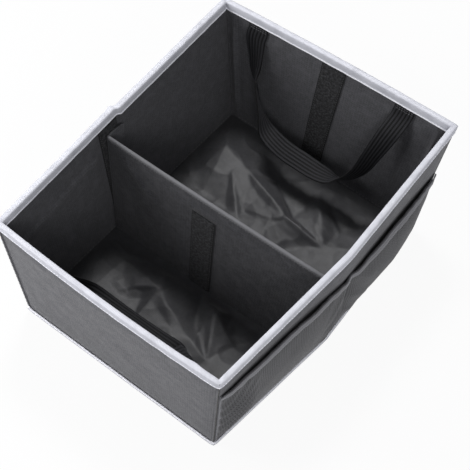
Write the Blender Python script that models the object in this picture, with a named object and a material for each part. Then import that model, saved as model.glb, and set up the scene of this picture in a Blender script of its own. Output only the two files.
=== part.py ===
"""Back seat organizer: a folding box of fabric over card, with two compartments.

The box is drawn straight and square first, in metres with +Z up. Every piece is then moved by
settle(), which leans the walls outward and bows them at their middle folds, as the sewn box stands.
The origin is in the middle of the flat underside. +X faces the mesh pocket and +Y the far end.
"""
import math

import bmesh
import bpy
from mathutils import Vector
from mathutils.geometry import delaunay_2d_cdt

MM = 0.001

# The straight box, over its outer fabric
BASE_WIDTH = 240 * MM
BASE_LENGTH = 325 * MM
WALL_TOP = 160 * MM

# How far each rim corner stands out past the base corner below it, in x and in y
LEAN_NEAR_LEFT = (8.5 * MM, 14 * MM)
LEAN_FAR_LEFT = (21.5 * MM, 13 * MM)
LEAN_FAR_RIGHT = (17.6 * MM, 26.4 * MM)
LEAN_NEAR_RIGHT = (19.6 * MM, 15.2 * MM)

# The walls bow out between their corners, the long ones up to their middle folds.
# At the left fold the near half stands further out than the far half.
FOLD_Y = -3 * MM
FOLD_GAP = 5.0 * MM
BOW_RIGHT_FOOT = 12 * MM
BOW_RIGHT_RIM = 9.2 * MM
BOW_LEFT_NEAR = 2.4 * MM
BOW_LEFT_FAR = -0.6 * MM
BOW_NEAR_RIM = 3.6 * MM
BOW_FAR_RIM = 2 * MM

# Cloth, card and the clearance that layers keep
CLOTH = 0.6 * MM
CARD = 1.2 * MM
CLEARANCE = 0.3 * MM
STITCH_GAP = 0.35 * MM

# Walls
WALL_FOOT = 2.0 * MM
CARD_FOOT = 4.0 * MM
CARD_TOP_MARGIN = 2.0 * MM
SEAM_RIDGE = 1.2 * MM
SEAM_RIDGE_WIDTH = 1.6 * MM
SEAM_RIDGE_FOOT = 4.0 * MM
CORNER_TUCK = 3.0 * MM
CORNER_TUCK_WIDTH = 9.0 * MM
CORNER_TUCK_FADE = 30 * MM

# Base
FLANGE = 1.5 * MM
FLANGE_LIFT = 1.0 * MM
FLANGE_RAMP = 2.4 * MM

# Binding tape
TAPE = 0.6 * MM
RIM_TAPE_BAND = 9.0 * MM
BASE_TAPE = 0.6 * MM

# Handles
STRAP_WIDTH = 20 * MM
STRAP = 1.2 * MM
STRAP_SEAM_DROP = 14.5 * MM
STRAP_SEAM_LIFT = 0.5 * MM
STRAP_STEPS = 48
TANGENT_REACH = 0.02
FAR_STRAP_ENDS = (-81 * MM, 73 * MM)
NEAR_STRAP_ENDS = (-77 * MM, 74 * MM)
# Each loop, station by station. The first three numbers are x, the distance off the wall and the drop below
# the rim, in mm. The last three are the way that the strap's width points: x, into the box and up.
FAR_LOOP = (
    (-83, 2, 27, 1, 0, 0), (-81, 5, 50, 0.92, 0.35, 0), (-79, 9, 64, 0.78, 0.6, 0),
    (-72, 15, 76, 0.6, 0.8, 0), (-63, 22, 89, 0.58, 0.8, 0), (-48, 30, 105, 0.3, 0.93, -0.2),
    (-26, 35, 110, -0.08, 0.9, -0.42), (0, 36, 111, -0.1, 0.9, -0.4), (23, 35, 112, -0.15, 0.95, -0.1),
    (42, 32, 109, -0.35, 0.8, 0.5), (57, 27, 90, -0.6, 0.7, 0.45), (64, 19, 63, -0.8, 0.5, 0.3),
    (69, 11, 39, -0.95, 0.2, 0.1), (72, 3, 24, -1, 0, 0),
)
NEAR_LOOP = (
    (-77, 3, 26, 1, 0, 0), (-78, 8, 47, 0.92, 0.35, 0), (-73, 14, 68, 0.75, 0.65, 0),
    (-64, 22, 86, 0.6, 0.8, 0), (-48, 29, 100, 0.3, 0.9, -0.2), (-24, 33, 108, 0, 0.9, -0.4),
    (2, 34, 110, 0, 0.9, -0.4), (26, 33, 108, -0.1, 0.95, -0.2), (46, 30, 100, -0.3, 0.9, 0.2),
    (60, 25, 84, -0.6, 0.75, 0.3), (69, 20, 62, -0.85, 0.5, 0.2), (72, 15, 38, -0.97, 0.2, 0.1),
    (74, 5, 22, -1, 0, 0),
)

# Hook and loop strips
STRIP_WIDTH = 25 * MM
STRIP = 1.2 * MM
FAR_STRIP_SLANT = 0.07
STRIP_FOOT = 12 * MM

# Divider
DIVIDER_TOP = WALL_TOP - 20 * MM
DIVIDER_FOOT = 6.0 * MM
DIVIDER_TOP_Y = -22 * MM
DIVIDER_FOOT_Y = -34 * MM
FLAP_LENGTH = 20 * MM
DIVIDER_STRIP_TOP = WALL_TOP - 43 * MM
DIVIDER_STRIP_X = -7 * MM
SIDE_STRIP_Y = FOLD_Y - FOLD_GAP / 2 - CLEARANCE - STRIP_WIDTH / 2

# Mesh pocket on the right wall
MESH = 0.6 * MM
POCKET_FOOT = 5.0 * MM
POCKET_SIDE_MARGIN = 1.5 * MM
POCKET_SEAM_Y = 10 * MM
MOUTH_NEAR = 126 * MM
MOUTH_MIDDLE = 108 * MM
MOUTH_FAR = 98 * MM
MOUTH_RISE_NEAR = 8 * MM
MOUTH_RISE_FAR = 6 * MM
POCKET_BULGE_NEAR = 13 * MM
POCKET_BULGE_FAR = 18 * MM
POCKET_MOUTH_SHARE = 0.2
POCKET_FOOT_CURVE = 2.2
POCKET_MOUTH_CURVE = 3
POCKET_END_CURVE = 0.6
POCKET_COLUMNS = 44
POCKET_ROWS = 12
GATHER_DEPTH = 1.3 * MM
GATHER_COUNT = 5
GATHER_REACH = 45 * MM
GATHER_SLANT = 0.6
HEM = 1.0 * MM
HEM_HEIGHT = 6.0 * MM

# The floor cloth lies flat this far from the divider's foot
FLAT_AT_DIVIDER = 5 * MM

# The grid of cuts that lets a straight slab follow the leaning walls
X_CELLS = 8
Y_CELLS = 12
Z_CELLS = 8

WALL = CLOTH + CLEARANCE + CARD + CLEARANCE + CLOTH
HALF_W = BASE_WIDTH / 2
HALF_L = BASE_LENGTH / 2
TOLERANCE = 1e-7
OVERCUT = 1 * MM


def srgb(code):
    """A colour written as sRGB hex, in linear light."""
    parts = [int(code[i:i + 2], 16) / 255 for i in (1, 3, 5)]
    return [c / 12.92 if c <= 0.04045 else ((c + 0.055) / 1.055) ** 2.4 for c in parts] + [1.0]


def material(name, code, roughness):
    made = bpy.data.materials.new(name)
    made.use_nodes = True
    shader = made.node_tree.nodes["Principled BSDF"]
    shader.inputs["Base Color"].default_value = srgb(code)
    shader.inputs["Roughness"].default_value = roughness
    shader.inputs["Metallic"].default_value = 0.0
    made.diffuse_color = srgb(code)
    return made


def smooth_step(value):
    value = min(1.0, max(0.0, value))
    return value * value * (3.0 - 2.0 * value)


def tent(y):
    """1 at the middle fold and 0 at the ends: two flat halves that meet at an angle."""
    end = -HALF_L if y < FOLD_Y else HALF_L
    return max(0.0, (end - y) / (end - FOLD_Y))


def arch(x):
    """1 in the middle of a short wall and 0 at its corners."""
    return max(0.0, 1.0 - (x / HALF_W) ** 2)


def settle(point):
    """Moves a point of the straight box to where the sewn box holds it."""
    x, y, z = point
    along_x = x / BASE_WIDTH + 0.5
    along_y = y / BASE_LENGTH + 0.5
    up = z / WALL_TOP
    near, far = 1.0 - along_y, along_y
    left, right = 1.0 - along_x, along_x
    lean_x = (right * (near * LEAN_NEAR_RIGHT[0] + far * LEAN_FAR_RIGHT[0])
              - left * (near * LEAN_NEAR_LEFT[0] + far * LEAN_FAR_LEFT[0]))
    lean_y = (far * (left * LEAN_FAR_LEFT[1] + right * LEAN_FAR_RIGHT[1])
              - near * (left * LEAN_NEAR_LEFT[1] + right * LEAN_NEAR_RIGHT[1]))
    past_fold = smooth_step((y - FOLD_Y) / FOLD_GAP + 0.5)
    bow_left = (BOW_LEFT_NEAR + past_fold * (BOW_LEFT_FAR - BOW_LEFT_NEAR)) * up
    bow_right = BOW_RIGHT_FOOT * (1.0 - up) + BOW_RIGHT_RIM * up
    bow_x = tent(y) * (right * bow_right - left * bow_left)
    bow_y = arch(x) * (far * BOW_FAR_RIM - near * BOW_NEAR_RIM) * up
    return Vector((x + lean_x * up + bow_x, y + lean_y * up + bow_y, z))


def grid_places(half, cells):
    """Cut places spread evenly from -half to half."""
    return [half * (2 * i / cells - 1) for i in range(1, cells)]


FOLD_SIDES = [FOLD_Y - FOLD_GAP / 2, FOLD_Y + FOLD_GAP / 2]
GRID = (grid_places(HALF_W, X_CELLS),
        [y for y in grid_places(HALF_L, Y_CELLS) if abs(y - FOLD_Y) > FOLD_GAP] + FOLD_SIDES,
        [WALL_TOP * i / Z_CELLS for i in range(1, Z_CELLS)])


def cut_across(mesh, axis, places):
    """Cuts every face of a bmesh where it crosses the given places of one axis."""
    normal = Vector([float(axis == i) for i in range(3)])
    for place in places:
        reach = [v.co[axis] for v in mesh.verts]
        if min(reach) + TOLERANCE < place < max(reach) - TOLERANCE:
            everything = mesh.verts[:] + mesh.edges[:] + mesh.faces[:]
            bmesh.ops.bisect_plane(mesh, geom=everything, dist=TOLERANCE,
                                   plane_co=normal * place, plane_no=normal)


def box_mesh(low, high):
    """A bmesh box between two corners."""
    low, high = Vector(low), Vector(high)
    mesh = bmesh.new()
    bmesh.ops.create_cube(mesh, size=1.0)
    for vert in mesh.verts:
        vert.co = (low + high) / 2 + vert.co * (high - low)
    return mesh


def finish_piece(name, mesh, made_of, parts):
    """Turns a bmesh into a named object of the part."""
    data = bpy.data.meshes.new(name)
    mesh.to_mesh(data)
    mesh.free()
    data.materials.append(made_of)
    piece = bpy.data.objects.new(name, data)
    parts.objects.link(piece)
    return piece


def slab(name, low, high, made_of, parts, form=None, cuts=((), (), ()), on_grid=True):
    """A flat piece of cloth or card, cut across where it has to bend, formed and then settled."""
    mesh = box_mesh(low, high)
    for axis in range(3):
        cut_across(mesh, axis, cuts[axis])
        if on_grid:
            cut_across(mesh, axis, GRID[axis])
    for vert in mesh.verts:
        place = form(vert.co) if form else vert.co
        vert.co = settle(place)
    return finish_piece(name, mesh, made_of, parts)


def carved(name, low, high, cutter_boxes, made_of, parts, cutters, form=None):
    """A block with channels carved out of it, cut across by the grid, formed and settled."""
    mesh = box_mesh(low, high)
    data = bpy.data.meshes.new(name + "_block")
    mesh.to_mesh(data)
    mesh.free()
    block = bpy.data.objects.new(name + "_block", data)
    cutters.objects.link(block)
    for index, (cut_low, cut_high) in enumerate(cutter_boxes):
        mesh = box_mesh(cut_low, cut_high)
        cut_data = bpy.data.meshes.new(f"{name}_cutter_{index}")
        mesh.to_mesh(cut_data)
        mesh.free()
        cutter = bpy.data.objects.new(cut_data.name, cut_data)
        cutter.hide_render = True
        cutter.display_type = "WIRE"
        cutters.objects.link(cutter)
        cut = block.modifiers.new(cutter.name, "BOOLEAN")
        cut.operation = "DIFFERENCE"
        cut.solver = "EXACT"
        cut.object = cutter
    block.hide_render = True
    block.display_type = "WIRE"
    graph = bpy.context.evaluated_depsgraph_get()
    carved_data = bpy.data.meshes.new_from_object(block.evaluated_get(graph))
    mesh = bmesh.new()
    mesh.from_mesh(carved_data)
    for axis in range(3):
        cut_across(mesh, axis, GRID[axis])
    for vert in mesh.verts:
        place = form(vert.co) if form else vert.co
        vert.co = settle(place)
    return finish_piece(name, mesh, made_of, parts)


def make_base(parts, cutters, looks):
    """Bottom cloth with its turned-up seam flange, two card halves and the binding round the flange."""
    reach_x, reach_y = HALF_W + FLANGE, HALF_L + FLANGE
    ramp_x, ramp_y = HALF_W - FLANGE_RAMP, HALF_L - FLANGE_RAMP

    def raised_flange(point):
        outward = max(abs(point.x) - ramp_x, abs(point.y) - ramp_y)
        lift = min(1.0, max(0.0, outward / (FLANGE_RAMP - CLEARANCE))) * FLANGE_LIFT
        return point + Vector((0.0, 0.0, lift))

    top_x, top_y = HALF_W - CLEARANCE, HALF_L - CLEARANCE
    slab("bottom_cover", (-reach_x, -reach_y, 0.0), (reach_x, reach_y, CLOTH), looks["cover"], parts,
         raised_flange, ((-top_x, -ramp_x, ramp_x, top_x), (-top_y, -ramp_y, ramp_y, top_y), ()))

    card_x = HALF_W - FLANGE_RAMP - CLEARANCE - CLOTH
    card_y = HALF_L - FLANGE_RAMP - CLEARANCE - CLOTH
    card_foot = CLOTH + CLEARANCE
    for name, low_y, high_y in (("near", -card_y, FOLD_SIDES[0]), ("far", FOLD_SIDES[1], card_y)):
        slab("bottom_board_" + name, (-card_x, low_y, card_foot), (card_x, high_y, card_foot + CARD),
             looks["card"], parts)

    under = FLANGE_LIFT - CLEARANCE - BASE_TAPE
    over = FLANGE_LIFT + CLOTH + CLEARANCE + BASE_TAPE
    inner = CLEARANCE
    outer = FLANGE + CLEARANCE + BASE_TAPE
    hole = ((-HALF_W - inner, -HALF_L - inner, under - OVERCUT), (HALF_W + inner, HALF_L + inner, over + OVERCUT))
    channel = ((-reach_x - CLEARANCE, -reach_y - CLEARANCE, FLANGE_LIFT - CLEARANCE),
               (reach_x + CLEARANCE, reach_y + CLEARANCE, FLANGE_LIFT + CLOTH + CLEARANCE))
    carved("base_binding", (-HALF_W - outer, -HALF_L - outer, under), (HALF_W + outer, HALF_L + outer, over),
           (hole, channel), looks["binding"], parts, cutters)


def make_end_wall(side, name, parts, looks):
    """One short wall. side is -1 at the near end and 1 at the far end."""
    def across(depth):
        return side * (HALF_L - depth)

    def layer(piece, depth, thickness, half, foot, top, made_of, form=None, cuts=((), (), ())):
        ends = sorted((across(depth), across(depth + thickness)))
        slab(piece, (-half, ends[0], foot), (half, ends[1], top), made_of, parts, form, cuts)

    ridge_start = HALF_W - SEAM_RIDGE_WIDTH
    ridge_top = WALL_TOP - RIM_TAPE_BAND - CLEARANCE

    def seam_ridges(point):
        below_tape = SEAM_RIDGE_FOOT - TOLERANCE < point.z < ridge_top + TOLERANCE
        out = SEAM_RIDGE if below_tape and abs(point.x) > ridge_start + TOLERANCE else 0.0
        return point + Vector((0.0, side * out, 0.0))

    ridge_cuts = ((-ridge_start - CLEARANCE, -ridge_start, ridge_start, ridge_start + CLEARANCE), (),
                  (SEAM_RIDGE_FOOT - CLEARANCE, SEAM_RIDGE_FOOT, ridge_top, ridge_top + CLEARANCE))
    layer(name + "_end_cover", 0.0, CLOTH, HALF_W, WALL_FOOT, WALL_TOP, looks["cover"], seam_ridges, ridge_cuts)

    card_depth = CLOTH + CLEARANCE
    layer(name + "_end_board", card_depth, CARD, HALF_W - card_depth, CARD_FOOT, WALL_TOP - CARD_TOP_MARGIN,
          looks["card"])

    lining_depth = card_depth + CARD + CLEARANCE
    lining_foot = CLOTH + CLEARANCE + CARD + CLEARANCE
    half = HALF_W - lining_depth
    tuck_middle = half - CORNER_TUCK_WIDTH
    tape_foot = WALL_TOP - RIM_TAPE_BAND - CLEARANCE

    def corner_tucks(point):
        rise = 1.0 - abs(abs(point.x) - tuck_middle) / (CORNER_TUCK_WIDTH / 2)
        free = min(1.0, max(0.0, min(point.z - lining_foot, tape_foot - point.z) / CORNER_TUCK_FADE))
        return point - Vector((0.0, side * CORNER_TUCK * free * smooth_step(rise), 0.0))

    tuck_cuts = [s * (tuck_middle + k * CORNER_TUCK_WIDTH / 4) for s in (-1, 1) for k in (-2, -1, 0, 1, 2)]
    layer(name + "_end_lining", lining_depth, CLOTH, half, lining_foot, WALL_TOP, looks["lining"],
          corner_tucks, (tuck_cuts, (), (tape_foot,)))


def make_side_wall(side, name, parts, looks):
    """One long wall. side is -1 at the left and 1 at the right; its card is in two halves."""
    def layer(piece, depth, thickness, low_y, high_y, foot, top, made_of):
        ends = sorted((side * (HALF_W - depth), side * (HALF_W - depth - thickness)))
        slab(piece, (ends[0], low_y, foot), (ends[1], high_y, top), made_of, parts)

    cover_half = HALF_L - CLOTH - CLEARANCE
    layer(name + "_side_cover", 0.0, CLOTH, -cover_half, cover_half, WALL_FOOT, WALL_TOP, looks["cover"])

    card_depth = CLOTH + CLEARANCE
    card_half = HALF_L - card_depth - CARD - CLEARANCE
    for half_name, low_y, high_y in (("near", -card_half, FOLD_SIDES[0]), ("far", FOLD_SIDES[1], card_half)):
        layer(f"{name}_side_board_{half_name}", card_depth, CARD, low_y, high_y, CARD_FOOT,
              WALL_TOP - CARD_TOP_MARGIN, looks["card"])

    lining_depth = card_depth + CARD + CLEARANCE
    lining_half = HALF_L - lining_depth - CLOTH - CLEARANCE
    lining_foot = CLOTH + CLEARANCE + CARD + CLEARANCE
    layer(name + "_side_lining", lining_depth, CLOTH, -lining_half, lining_half, lining_foot, WALL_TOP,
          looks["lining"])


def make_rim_binding(parts, cutters, looks):
    """One tape folded over the top of all four walls."""
    out = CLEARANCE
    inward = WALL + CLEARANCE
    foot = WALL_TOP - RIM_TAPE_BAND
    top = WALL_TOP + CLEARANCE + TAPE
    wide, long = HALF_W + out, HALF_L + out
    clear_x, clear_y = HALF_W - inward, HALF_L - inward
    below, under_top = foot - OVERCUT, top - TAPE
    channels = (((-wide, -long, below), (wide, -clear_y, under_top)),
                ((-wide, clear_y, below), (wide, long, under_top)),
                ((-wide, -clear_y - OVERCUT, below), (-clear_x, clear_y + OVERCUT, under_top)),
                ((clear_x, -clear_y - OVERCUT, below), (wide, clear_y + OVERCUT, under_top)))
    hole = ((TAPE - clear_x, TAPE - clear_y, below), (clear_x - TAPE, clear_y - TAPE, top + OVERCUT))
    carved("rim_binding", (-wide - TAPE, -long - TAPE, foot), (wide + TAPE, long + TAPE, top),
           (hole,) + channels, looks["binding"], parts, cutters)


def make_strips(parts, looks):
    """Loop strips sewn on the linings: one upright on each end wall, one beside each side fold."""
    top = WALL_TOP - RIM_TAPE_BAND - CLEARANCE
    face = HALF_L - WALL - STITCH_GAP

    def slanted(point):
        return point + Vector((FAR_STRIP_SLANT * (point.z - WALL_TOP), 0.0, 0.0))

    for name, side in (("near", -1), ("far", 1)):
        ends = sorted((side * face, side * (face - STRIP)))
        slab(f"{name}_loop_strip", (-STRIP_WIDTH / 2, ends[0], STRIP_FOOT), (STRIP_WIDTH / 2, ends[1], top),
             looks["loop"], parts, slanted)

    face = HALF_W - WALL - STITCH_GAP
    for name, side in (("left", -1), ("right", 1)):
        ends = sorted((side * face, side * (face - STRIP)))
        slab(f"{name}_loop_strip", (ends[0], SIDE_STRIP_Y - STRIP_WIDTH / 2, STRIP_FOOT),
             (ends[1], SIDE_STRIP_Y + STRIP_WIDTH / 2, top), looks["loop"], parts)


def divider_y(z):
    """The divider leans: its foot stands nearer the near end than its top."""
    share = (z - DIVIDER_FOOT) / (DIVIDER_TOP - DIVIDER_FOOT)
    return DIVIDER_FOOT_Y + share * (DIVIDER_TOP_Y - DIVIDER_FOOT_Y)


def make_divider(parts, cutters, looks):
    """A card in a folded cloth sleeve, with a hook flap at each end and a loop strip on its near face."""
    def leaned(point):
        return point + Vector((0.0, divider_y(point.z), 0.0))

    hook_face = HALF_W - WALL - STITCH_GAP - STRIP - CLEARANCE
    flap_face = hook_face - STRIP - CLEARANCE
    half = flap_face - CLOTH - CLEARANCE
    sleeve = CARD / 2 + CLEARANCE + CLOTH
    for side in (-1, 1):
        name = "left" if side < 0 else "right"
        hook_ends = sorted((side * hook_face, side * (hook_face - STRIP)))
        flap_ends = sorted((side * flap_face, side * (flap_face - CLOTH)))
        slab(f"divider_hook_tape_{name}", (hook_ends[0], -sleeve + CLOTH, STRIP_FOOT),
             (hook_ends[1], FLAP_LENGTH - 2 * CLOTH, DIVIDER_TOP - CLOTH), looks["loop"], parts, leaned)
        slab(f"divider_flap_{name}", (flap_ends[0], -sleeve, DIVIDER_FOOT),
             (flap_ends[1], FLAP_LENGTH, DIVIDER_TOP), looks["lining"], parts, leaned)

    slab("divider_board", (-half + CLOTH, -CARD / 2, DIVIDER_FOOT + CLOTH),
         (half - CLOTH, CARD / 2, DIVIDER_TOP - CLOTH - CLEARANCE), looks["card"], parts, leaned)

    slot = ((-half - OVERCUT, CLOTH - sleeve, DIVIDER_FOOT - OVERCUT),
            (half + OVERCUT, sleeve - CLOTH, DIVIDER_TOP - CLOTH))
    carved("divider_sleeve", (-half, -sleeve, DIVIDER_FOOT), (half, sleeve, DIVIDER_TOP), (slot,),
           looks["lining"], parts, cutters, leaned)
    strip_ends = (-sleeve - STITCH_GAP - STRIP, -sleeve - STITCH_GAP)
    slab("divider_loop_strip", (DIVIDER_STRIP_X - STRIP_WIDTH / 2, strip_ends[0], DIVIDER_FOOT),
         (DIVIDER_STRIP_X + STRIP_WIDTH / 2, strip_ends[1], DIVIDER_STRIP_TOP), looks["loop"], parts, leaned)


def mouth_height(y):
    """The pocket mouth runs down from corner to corner, sewn down at its middle seam and a little higher between."""
    if y < POCKET_SEAM_Y:
        share = (y + HALF_L) / (POCKET_SEAM_Y + HALF_L)
        start, stop, rise = MOUTH_NEAR, MOUTH_MIDDLE, MOUTH_RISE_NEAR
    else:
        share = (y - POCKET_SEAM_Y) / (HALF_L - POCKET_SEAM_Y)
        start, stop, rise = MOUTH_MIDDLE, MOUTH_FAR, MOUTH_RISE_FAR
    return start + share * (stop - start) + rise * math.sin(math.pi * share)


def pocket_stand(y, share_up):
    """How far the mesh stands off the wall: nothing at its seams, most a little below its mouth."""
    end = HALF_L - POCKET_SIDE_MARGIN
    near_half = y < POCKET_SEAM_Y
    start, stop = (-end, POCKET_SEAM_Y) if near_half else (POCKET_SEAM_Y, end)
    deepest = POCKET_BULGE_NEAR if near_half else POCKET_BULGE_FAR
    along = min(1.0, max(0.0, (y - start) / (stop - start)))
    off_foot = 1.0 - (1.0 - share_up) ** POCKET_FOOT_CURVE
    towards_mouth = 1.0 - (1.0 - POCKET_MOUTH_SHARE) * share_up ** POCKET_MOUTH_CURVE
    between_seams = math.sin(math.pi * along) ** POCKET_END_CURVE
    from_corner = (y + end) / GATHER_REACH
    gathers = 0.0
    if from_corner < 1.0:
        phase = 2 * math.pi * GATHER_COUNT * (share_up + GATHER_SLANT * from_corner)
        fade = 4 * (1.0 - from_corner) * from_corner * math.sin(math.pi * share_up)
        gathers = GATHER_DEPTH * fade * (1.0 + math.sin(phase)) / 2
    return deepest * between_seams * off_foot * towards_mouth + gathers


def make_pocket(parts, looks):
    """A mesh pocket over the right wall, sewn down at its middle, with an elastic hem along its mouth."""
    end = HALF_L - POCKET_SIDE_MARGIN
    height = MOUTH_NEAR - POCKET_FOOT
    inside = HALF_W + STITCH_GAP

    def share_up(point):
        return min(1.0, (point.z - POCKET_FOOT) / height)

    def hung(point):
        up = share_up(point)
        z = POCKET_FOOT + up * (mouth_height(point.y) - POCKET_FOOT)
        return Vector((point.x + pocket_stand(point.y, up), point.y, z))

    columns = [end * (2 * i / POCKET_COLUMNS - 1) for i in range(1, POCKET_COLUMNS)] + [POCKET_SEAM_Y]
    rows = [POCKET_FOOT + height * i / POCKET_ROWS for i in range(1, POCKET_ROWS)]
    slab("pocket_mesh", (inside, -end, POCKET_FOOT), (inside + MESH, end, MOUTH_NEAR), looks["mesh"], parts,
         hung, ((), columns, rows), on_grid=False)

    def hemmed(point):
        above_foot = point.z - (MOUTH_NEAR - HEM_HEIGHT)
        z = mouth_height(point.y) - HEM_HEIGHT + above_foot
        up = (z - POCKET_FOOT) / (mouth_height(point.y) - POCKET_FOOT)
        return Vector((point.x + pocket_stand(point.y, min(1.0, up)), point.y, z))

    outside = inside + MESH + STITCH_GAP
    slab("pocket_hem", (outside, -end, MOUTH_NEAR - HEM_HEIGHT), (outside + HEM, end, MOUTH_NEAR), looks["hem"],
         parts, hemmed, ((), columns, ()), on_grid=False)


# The loose floor cloth: the tops and hollows of its creases as x, y and height over the flat, in mm.
FLOOR_POINTS = {
    "corner_peak": (-88, 112, 9), "left_ridge": (-65, 92, 6), "left_ridge_foot": (-26, 52, 3),
    "left_hollow": (-70, 60, 0), "back_fold": (-47, 101, 7), "flap_tip": (15, 80, 9), "flap_root": (-28, 62, 2),
    "flap_edge": (18, 88, 1), "back_hollow": (-20, 112, 1), "lower_fold": (7, 68, 6), "lower_tip": (64, 78, 4),
    "lower_foot": (34, 54, 1), "lower_hollow": (44, 66, 1), "right_dimple": (66, 108, 1), "right_rise": (42, 104, 6),
    "right_swell": (88, 96, 5), "right_front": (84, 40, 3), "middle_front": (0, 24, 4), "left_front": (-58, 14, 3),
    "far_left_edge": (-96, 70, 2), "far_right_edge": (96, 130, 3), "far_middle": (22, 134, 3),
    "dark_fold_end": (-60, -88, 1), "dark_fold": (-30, -68, 8), "long_fold_foot": (56, -99, 2),
    "short_fold": (30, -56, 7), "between_folds": (22, -76, 1), "inner_slope": (6, -92, 5), "near_fan": (24, -116, 4),
    "right_fan": (86, -84, 5), "right_hollow": (66, -70, 1), "near_left": (-84, -116, 4), "near_middle": (-28, -112, 2),
    "near_right": (84, -128, 3), "left_swell": (-82, -62, 3), "under_fold": (-44, -78, 1),
}
FLOOR_RIDGES = (
    ("corner_peak", "left_ridge"), ("left_ridge", "left_ridge_foot"), ("back_fold", "flap_tip"),
    ("flap_root", "flap_tip"), ("lower_fold", "lower_tip"), ("lower_fold", "lower_foot"),
    ("dark_fold_end", "dark_fold"), ("dark_fold", "inner_slope"), ("inner_slope", "long_fold_foot"),
    ("short_fold", "long_fold_foot"), ("long_fold_foot", "right_fan"), ("long_fold_foot", "near_fan"),
)
FLOOR_EDGE_CELLS = 6


def make_floor(parts, looks):
    """The loose cloth over the bottom cards: flat along the walls and under the divider, creased between."""
    low = CLOTH + CLEARANCE + CARD + CLEARANCE
    half_x = HALF_W - WALL - CLEARANCE
    half_y = HALF_L - WALL - CLEARANCE
    names = list(FLOOR_POINTS)
    plan = [Vector((FLOOR_POINTS[n][0] * MM, FLOOR_POINTS[n][1] * MM)) for n in names]
    heights = [FLOOR_POINTS[n][2] * MM for n in names]
    steps = [2 * i / FLOOR_EDGE_CELLS - 1 for i in range(FLOOR_EDGE_CELLS + 1)]
    flat = [(s * half_x, side * half_y) for s in steps for side in (-1, 1)]
    flat += [(side * half_x, s * half_y) for s in steps[1:-1] for side in (-1, 1)]
    flat += [(s * half_x, DIVIDER_FOOT_Y + side * FLAT_AT_DIVIDER) for s in steps for side in (-1, 1)]
    plan += [Vector(place) for place in flat]
    heights += [0.0] * len(flat)
    ridges = [(names.index(a), names.index(b)) for a, b in FLOOR_RIDGES]
    places, _, faces, origins, _, _ = delaunay_2d_cdt(plan, ridges, [], 0, TOLERANCE)

    mesh = bmesh.new()
    top = [mesh.verts.new((p.x, p.y, low + CLOTH + max([heights[i] for i in o] or [0.0])))
           for p, o in zip(places, origins)]
    sheet = [mesh.faces.new([top[i] for i in face]) for face in faces]
    under = bmesh.ops.extrude_face_region(mesh, geom=sheet)
    for vert in under["geom"]:
        if isinstance(vert, bmesh.types.BMVert):
            vert.co.z -= CLOTH
    for vert in mesh.verts:
        vert.co = settle(vert.co)
    bmesh.ops.recalc_face_normals(mesh, faces=mesh.faces[:])
    finish_piece("floor_cloth", mesh, looks["lining"], parts)


def blend(stations, place):
    """A smooth curve through the stations (Catmull and Rom's), at a place counted in stations."""
    last = len(stations) - 1
    index = min(int(place), last - 1)
    t = place - index
    a, b, c, d = (Vector(stations[min(max(i, 0), last)]) for i in (index - 1, index, index + 1, index + 2))
    return 0.5 * (2 * b + (c - a) * t + (2 * a - 5 * b + 4 * c - d) * t ** 2 + (3 * b - a - 3 * c + d) * t ** 3)


def make_strap(name, centres, widths, parts, looks):
    """A flat strap along its centres, with its width turned to the given direction at each of them."""
    last = len(centres) - 1
    mesh = box_mesh((0.0, -STRAP_WIDTH / 2, -STRAP / 2), (last, STRAP_WIDTH / 2, STRAP / 2))
    cut_across(mesh, 0, [last * i / STRAP_STEPS for i in range(1, STRAP_STEPS)])
    cut_across(mesh, 1, [0.0])
    for vert in mesh.verts:
        place, across, depth = vert.co
        ahead, behind = min(place + TANGENT_REACH, last), max(place - TANGENT_REACH, 0.0)
        tangent = (blend(centres, ahead) - blend(centres, behind)).normalized()
        width = blend(widths, place)
        width = (width - tangent * width.dot(tangent)).normalized()
        vert.co = settle(blend(centres, place) + width * across + tangent.cross(width) * depth)
    finish_piece(name, mesh, looks["strap"], parts)


def make_handles(parts, looks):
    """Two carrying straps, each sewn by both ends inside an end wall, just under the tape, and hanging in a loop."""
    face = HALF_L - WALL - CLEARANCE - STRAP / 2
    top = WALL_TOP - RIM_TAPE_BAND - CLEARANCE
    seam = WALL_TOP - STRAP_SEAM_DROP
    for name, side, ends, loop in (("far_handle", 1, FAR_STRAP_ENDS, FAR_LOOP),
                                   ("near_handle", -1, NEAR_STRAP_ENDS, NEAR_LOOP)):
        lifted = side * (face - STRAP_SEAM_LIFT)
        start = [(ends[0], side * face, top), (ends[0], lifted, seam)]
        stop = [(ends[1], lifted, seam), (ends[1], side * face, top)]
        route = [(x * MM, side * (face - off * MM), WALL_TOP - drop * MM) for x, off, drop, _, _, _ in loop]
        turns = [(x, -side * inward, up) for _, _, _, x, inward, up in loop]
        make_strap(name, start + route + stop, [turns[0]] * 2 + turns + [turns[-1]] * 2, parts, looks)


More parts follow.
